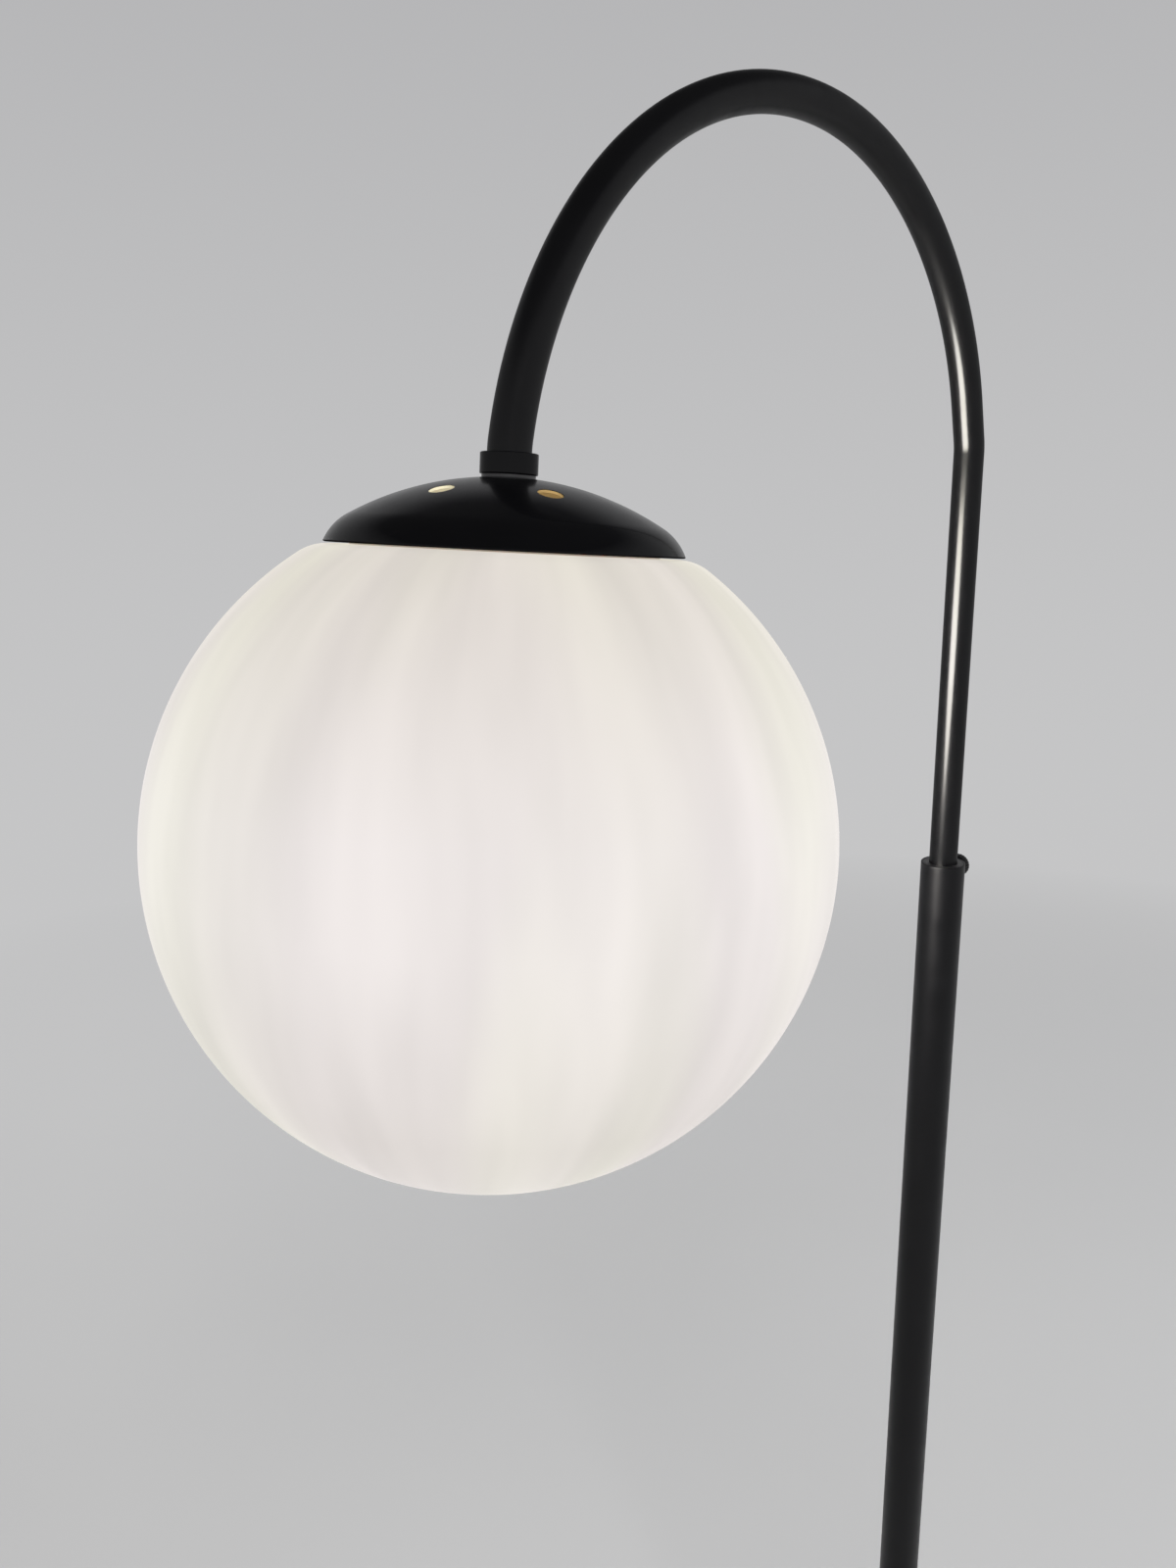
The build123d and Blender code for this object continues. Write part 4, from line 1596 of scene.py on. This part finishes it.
@dataclass
class Studio:
    """A pale floor that rises into a backdrop under a dark ceiling, soft lamps, and the camera."""

    floor_radius: float = 4.5
    floor_middle: float = 1.0
    lit_radius: float = 1.3
    lit_share: float = 0.8
    backdrop_radius: float = 9.0
    backdrop_height: float = 11.0
    sides: int = 128
    sweep_steps: int = 24
    paper: Colour = (0.60, 0.60, 0.605)
    paper_lighter: float = 1.02
    paper_drift: Grain = Grain(1.3, 3.0)
    paper_rough: float = 0.95
    low_tone: Colour = (0.56, 0.56, 0.565)
    high_tone: Colour = (0.43, 0.43, 0.44)
    ceiling_tone: Colour = (0.06, 0.06, 0.065)
    tone_stops: tuple[float, float, float] = (0.0, 0.6, 0.92)
    aim: tuple[float, float, float] = (-0.2, 0.0, 1.0)
    lamps: tuple[SoftLamp, ...] = (
        SoftLamp("key", (-2.6, -2.6, 3.4), 2.4, 175.0, (1.0, 0.985, 0.96)),
        SoftLamp("fill", (2.8, -2.2, 2.0), 2.8, 80.0, (0.96, 0.98, 1.0)),
        SoftLamp("back", (0.8, 3.2, 3.0), 2.6, 80.0, (1.0, 1.0, 1.0)),
    )
    surround: Colour = (0.78, 0.79, 0.80)
    surround_strength: float = 0.10
    camera_at: tuple[float, float, float] = (-0.7563, -0.3959, 1.4025)
    yaw: float = 45.47
    pitch: float = 14.505
    roll: float = -0.732
    focal_px: float = 1250.0
    frame_px: float = 1600.0
    sensor: float = 36.0

    def tone(self, recipe: Recipe) -> bpy.types.Node:
        """Even glow that falls off to a dark ceiling above what the camera sees.

        Args:
            recipe: The recipe that gets its nodes.

        Returns:
            The glow's shader.
        """
        parts = recipe.apart(recipe.place())
        height = recipe.spread(parts.outputs["Z"], 0.0, 1.0, 0.0, self.backdrop_height)
        tones = (self.low_tone, self.high_tone, self.ceiling_tone)
        glow = recipe.node("ShaderNodeEmission", strength=1.0)
        stops = list(zip(self.tone_stops, tones))
        recipe.link(recipe.ramp(height, stops), glow.inputs["Color"])
        return glow

    def backdrop_material(self) -> bpy.types.Material:
        """Builds the even pale backdrop.

        Returns:
            The new material.
        """
        recipe = Recipe("pale backdrop")
        recipe.surface(self.tone(recipe))
        return recipe.material

    def floor_material(self) -> bpy.types.Material:
        """Builds the matt pale floor, which meets the backdrop's tone far from the object.

        Returns:
            The new material.
        """
        recipe = Recipe("pale paper")
        where = recipe.place()
        start, end = NOISE_SPAN
        stops = [(start, self.paper), (end, scaled(self.paper, self.paper_lighter))]
        recipe.feed(recipe.ramp(recipe.noise(where, self.paper_drift), stops), "Base Color")
        recipe.set(roughness=self.paper_rough, specular_ior_level=0.0)
        far_off = self.lit_share * self.floor_radius
        far = recipe.spread(recipe.vector("LENGTH", where), 0.0, 1.0, self.lit_radius, far_off)
        blend = recipe.node("ShaderNodeMixShader")
        shaders = (recipe.shader.outputs[0], self.tone(recipe).outputs[0])
        recipe.plug(blend, dict(enumerate((far, *shaders))))
        recipe.surface(blend)
        return recipe.material

    def floor(self) -> None:
        """Builds the floor and the backdrop that rises from its edge."""
        level = [(0.0, 0.0), (self.floor_middle, 0.0), (self.floor_radius, 0.0)]
        disc = lathe("floor", level, Matrix(), self.sides, closed=False)
        bend = self.backdrop_radius - self.floor_radius
        sweep = [(self.floor_radius, 0.0)]
        for step in range(1, self.sweep_steps + 1):
            angle = math.radians(90.0 * step / self.sweep_steps)
            across = self.floor_radius + bend * math.sin(angle)
            sweep.append((across, bend * (1 - math.cos(angle))))
        sweep.append((self.backdrop_radius, self.backdrop_height))
        wall = lathe("backdrop", sweep, Matrix(), self.sides, closed=False, edge=Edge.SOFT)
        wall.visible_shadow = False
        wall.visible_diffuse = False
        disc.data.materials.append(self.floor_material())
        wall.data.materials.append(self.backdrop_material())

    def lights(self) -> None:
        """Adds the soft lamps and the dim surround. Gloss mirrors the room, not the lamps."""
        for lamp in self.lamps:
            data = bpy.data.lights.new(lamp.name, "AREA")
            data.shape = "SQUARE"
            data.size = lamp.size
            data.energy = lamp.power
            data.color = lamp.tint
            light = add_object(lamp.name, data)
            light.location = lamp.place
            towards = Vector(self.aim) - light.location
            light.rotation_euler = towards.to_track_quat("-Z", "Y").to_euler()
            light.visible_glossy = False
        world = bpy.data.worlds.new("surround")
        world.use_nodes = True
        sky = world.node_tree.nodes["Background"]
        sky.inputs["Color"].default_value = (*self.surround, 1.0)
        sky.inputs["Strength"].default_value = self.surround_strength
        bpy.context.scene.world = world

    def camera(self) -> None:
        """Adds the camera, aimed by its yaw from +Y, its pitch below the horizon and its roll."""
        yaw, pitch, roll = (math.radians(angle) for angle in (self.yaw, self.pitch, self.roll))
        level = math.cos(pitch)
        ahead = Vector((math.sin(yaw) * level, math.cos(yaw) * level, -math.sin(pitch)))
        right = Vector((math.cos(yaw), -math.sin(yaw), 0.0))
        up = right.cross(ahead)
        right_rolled = right * math.cos(roll) + up * math.sin(roll)
        up_rolled = up * math.cos(roll) - right * math.sin(roll)
        data = bpy.data.cameras.new("camera")
        data.sensor_width = self.sensor
        data.lens = self.focal_px * self.sensor / self.frame_px
        camera = add_object("camera", data)
        axes = Matrix((right_rolled, up_rolled, -ahead)).transposed()
        camera.matrix_world = Matrix.Translation(Vector(self.camera_at)) @ axes.to_4x4()
        bpy.context.scene.camera = camera

    def build(self) -> None:
        """Builds the whole studio."""
        self.floor()
        self.lights()
        self.camera()
        bpy.context.scene.view_settings.view_transform = "Standard"


def dress_nodes(frame: dict[str, Any], palette: Palette) -> None:
    """Gives every CAD node the finish of its material slot.

    Args:
        palette: All finishes.
    """
    for part in frame["record"]["subparts"]:
        node = frame["nodes"][part["node"]]
        palette.dress(node, part["material_slot"])
        for face in node.data.polygons:
            face.use_smooth = True
        node.data.set_sharp_from_angle(angle=Edge.CRISP.limit)
        log.info("%s dressed as %s", node.name, part["material_slot"])


def corners(box: tuple[Vector, Vector]) -> list[list[float]]:
    """A box as plain lists of numbers."""
    return [[round(value, 5) for value in corner] for corner in box]


def main() -> None:
    """Loads the frame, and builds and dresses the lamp."""
    logging.basicConfig(level=logging.INFO, format="%(name)s: %(message)s")
    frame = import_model()
    head = HeadPlace()
    palette = Palette(head)
    dress_nodes(frame, palette)
    LampHead(head).build(palette)
    Arm().build(palette)
    Pole().build(palette)
    Base().build(palette)
    Studio().build()


if __name__ == "__main__":
    main()
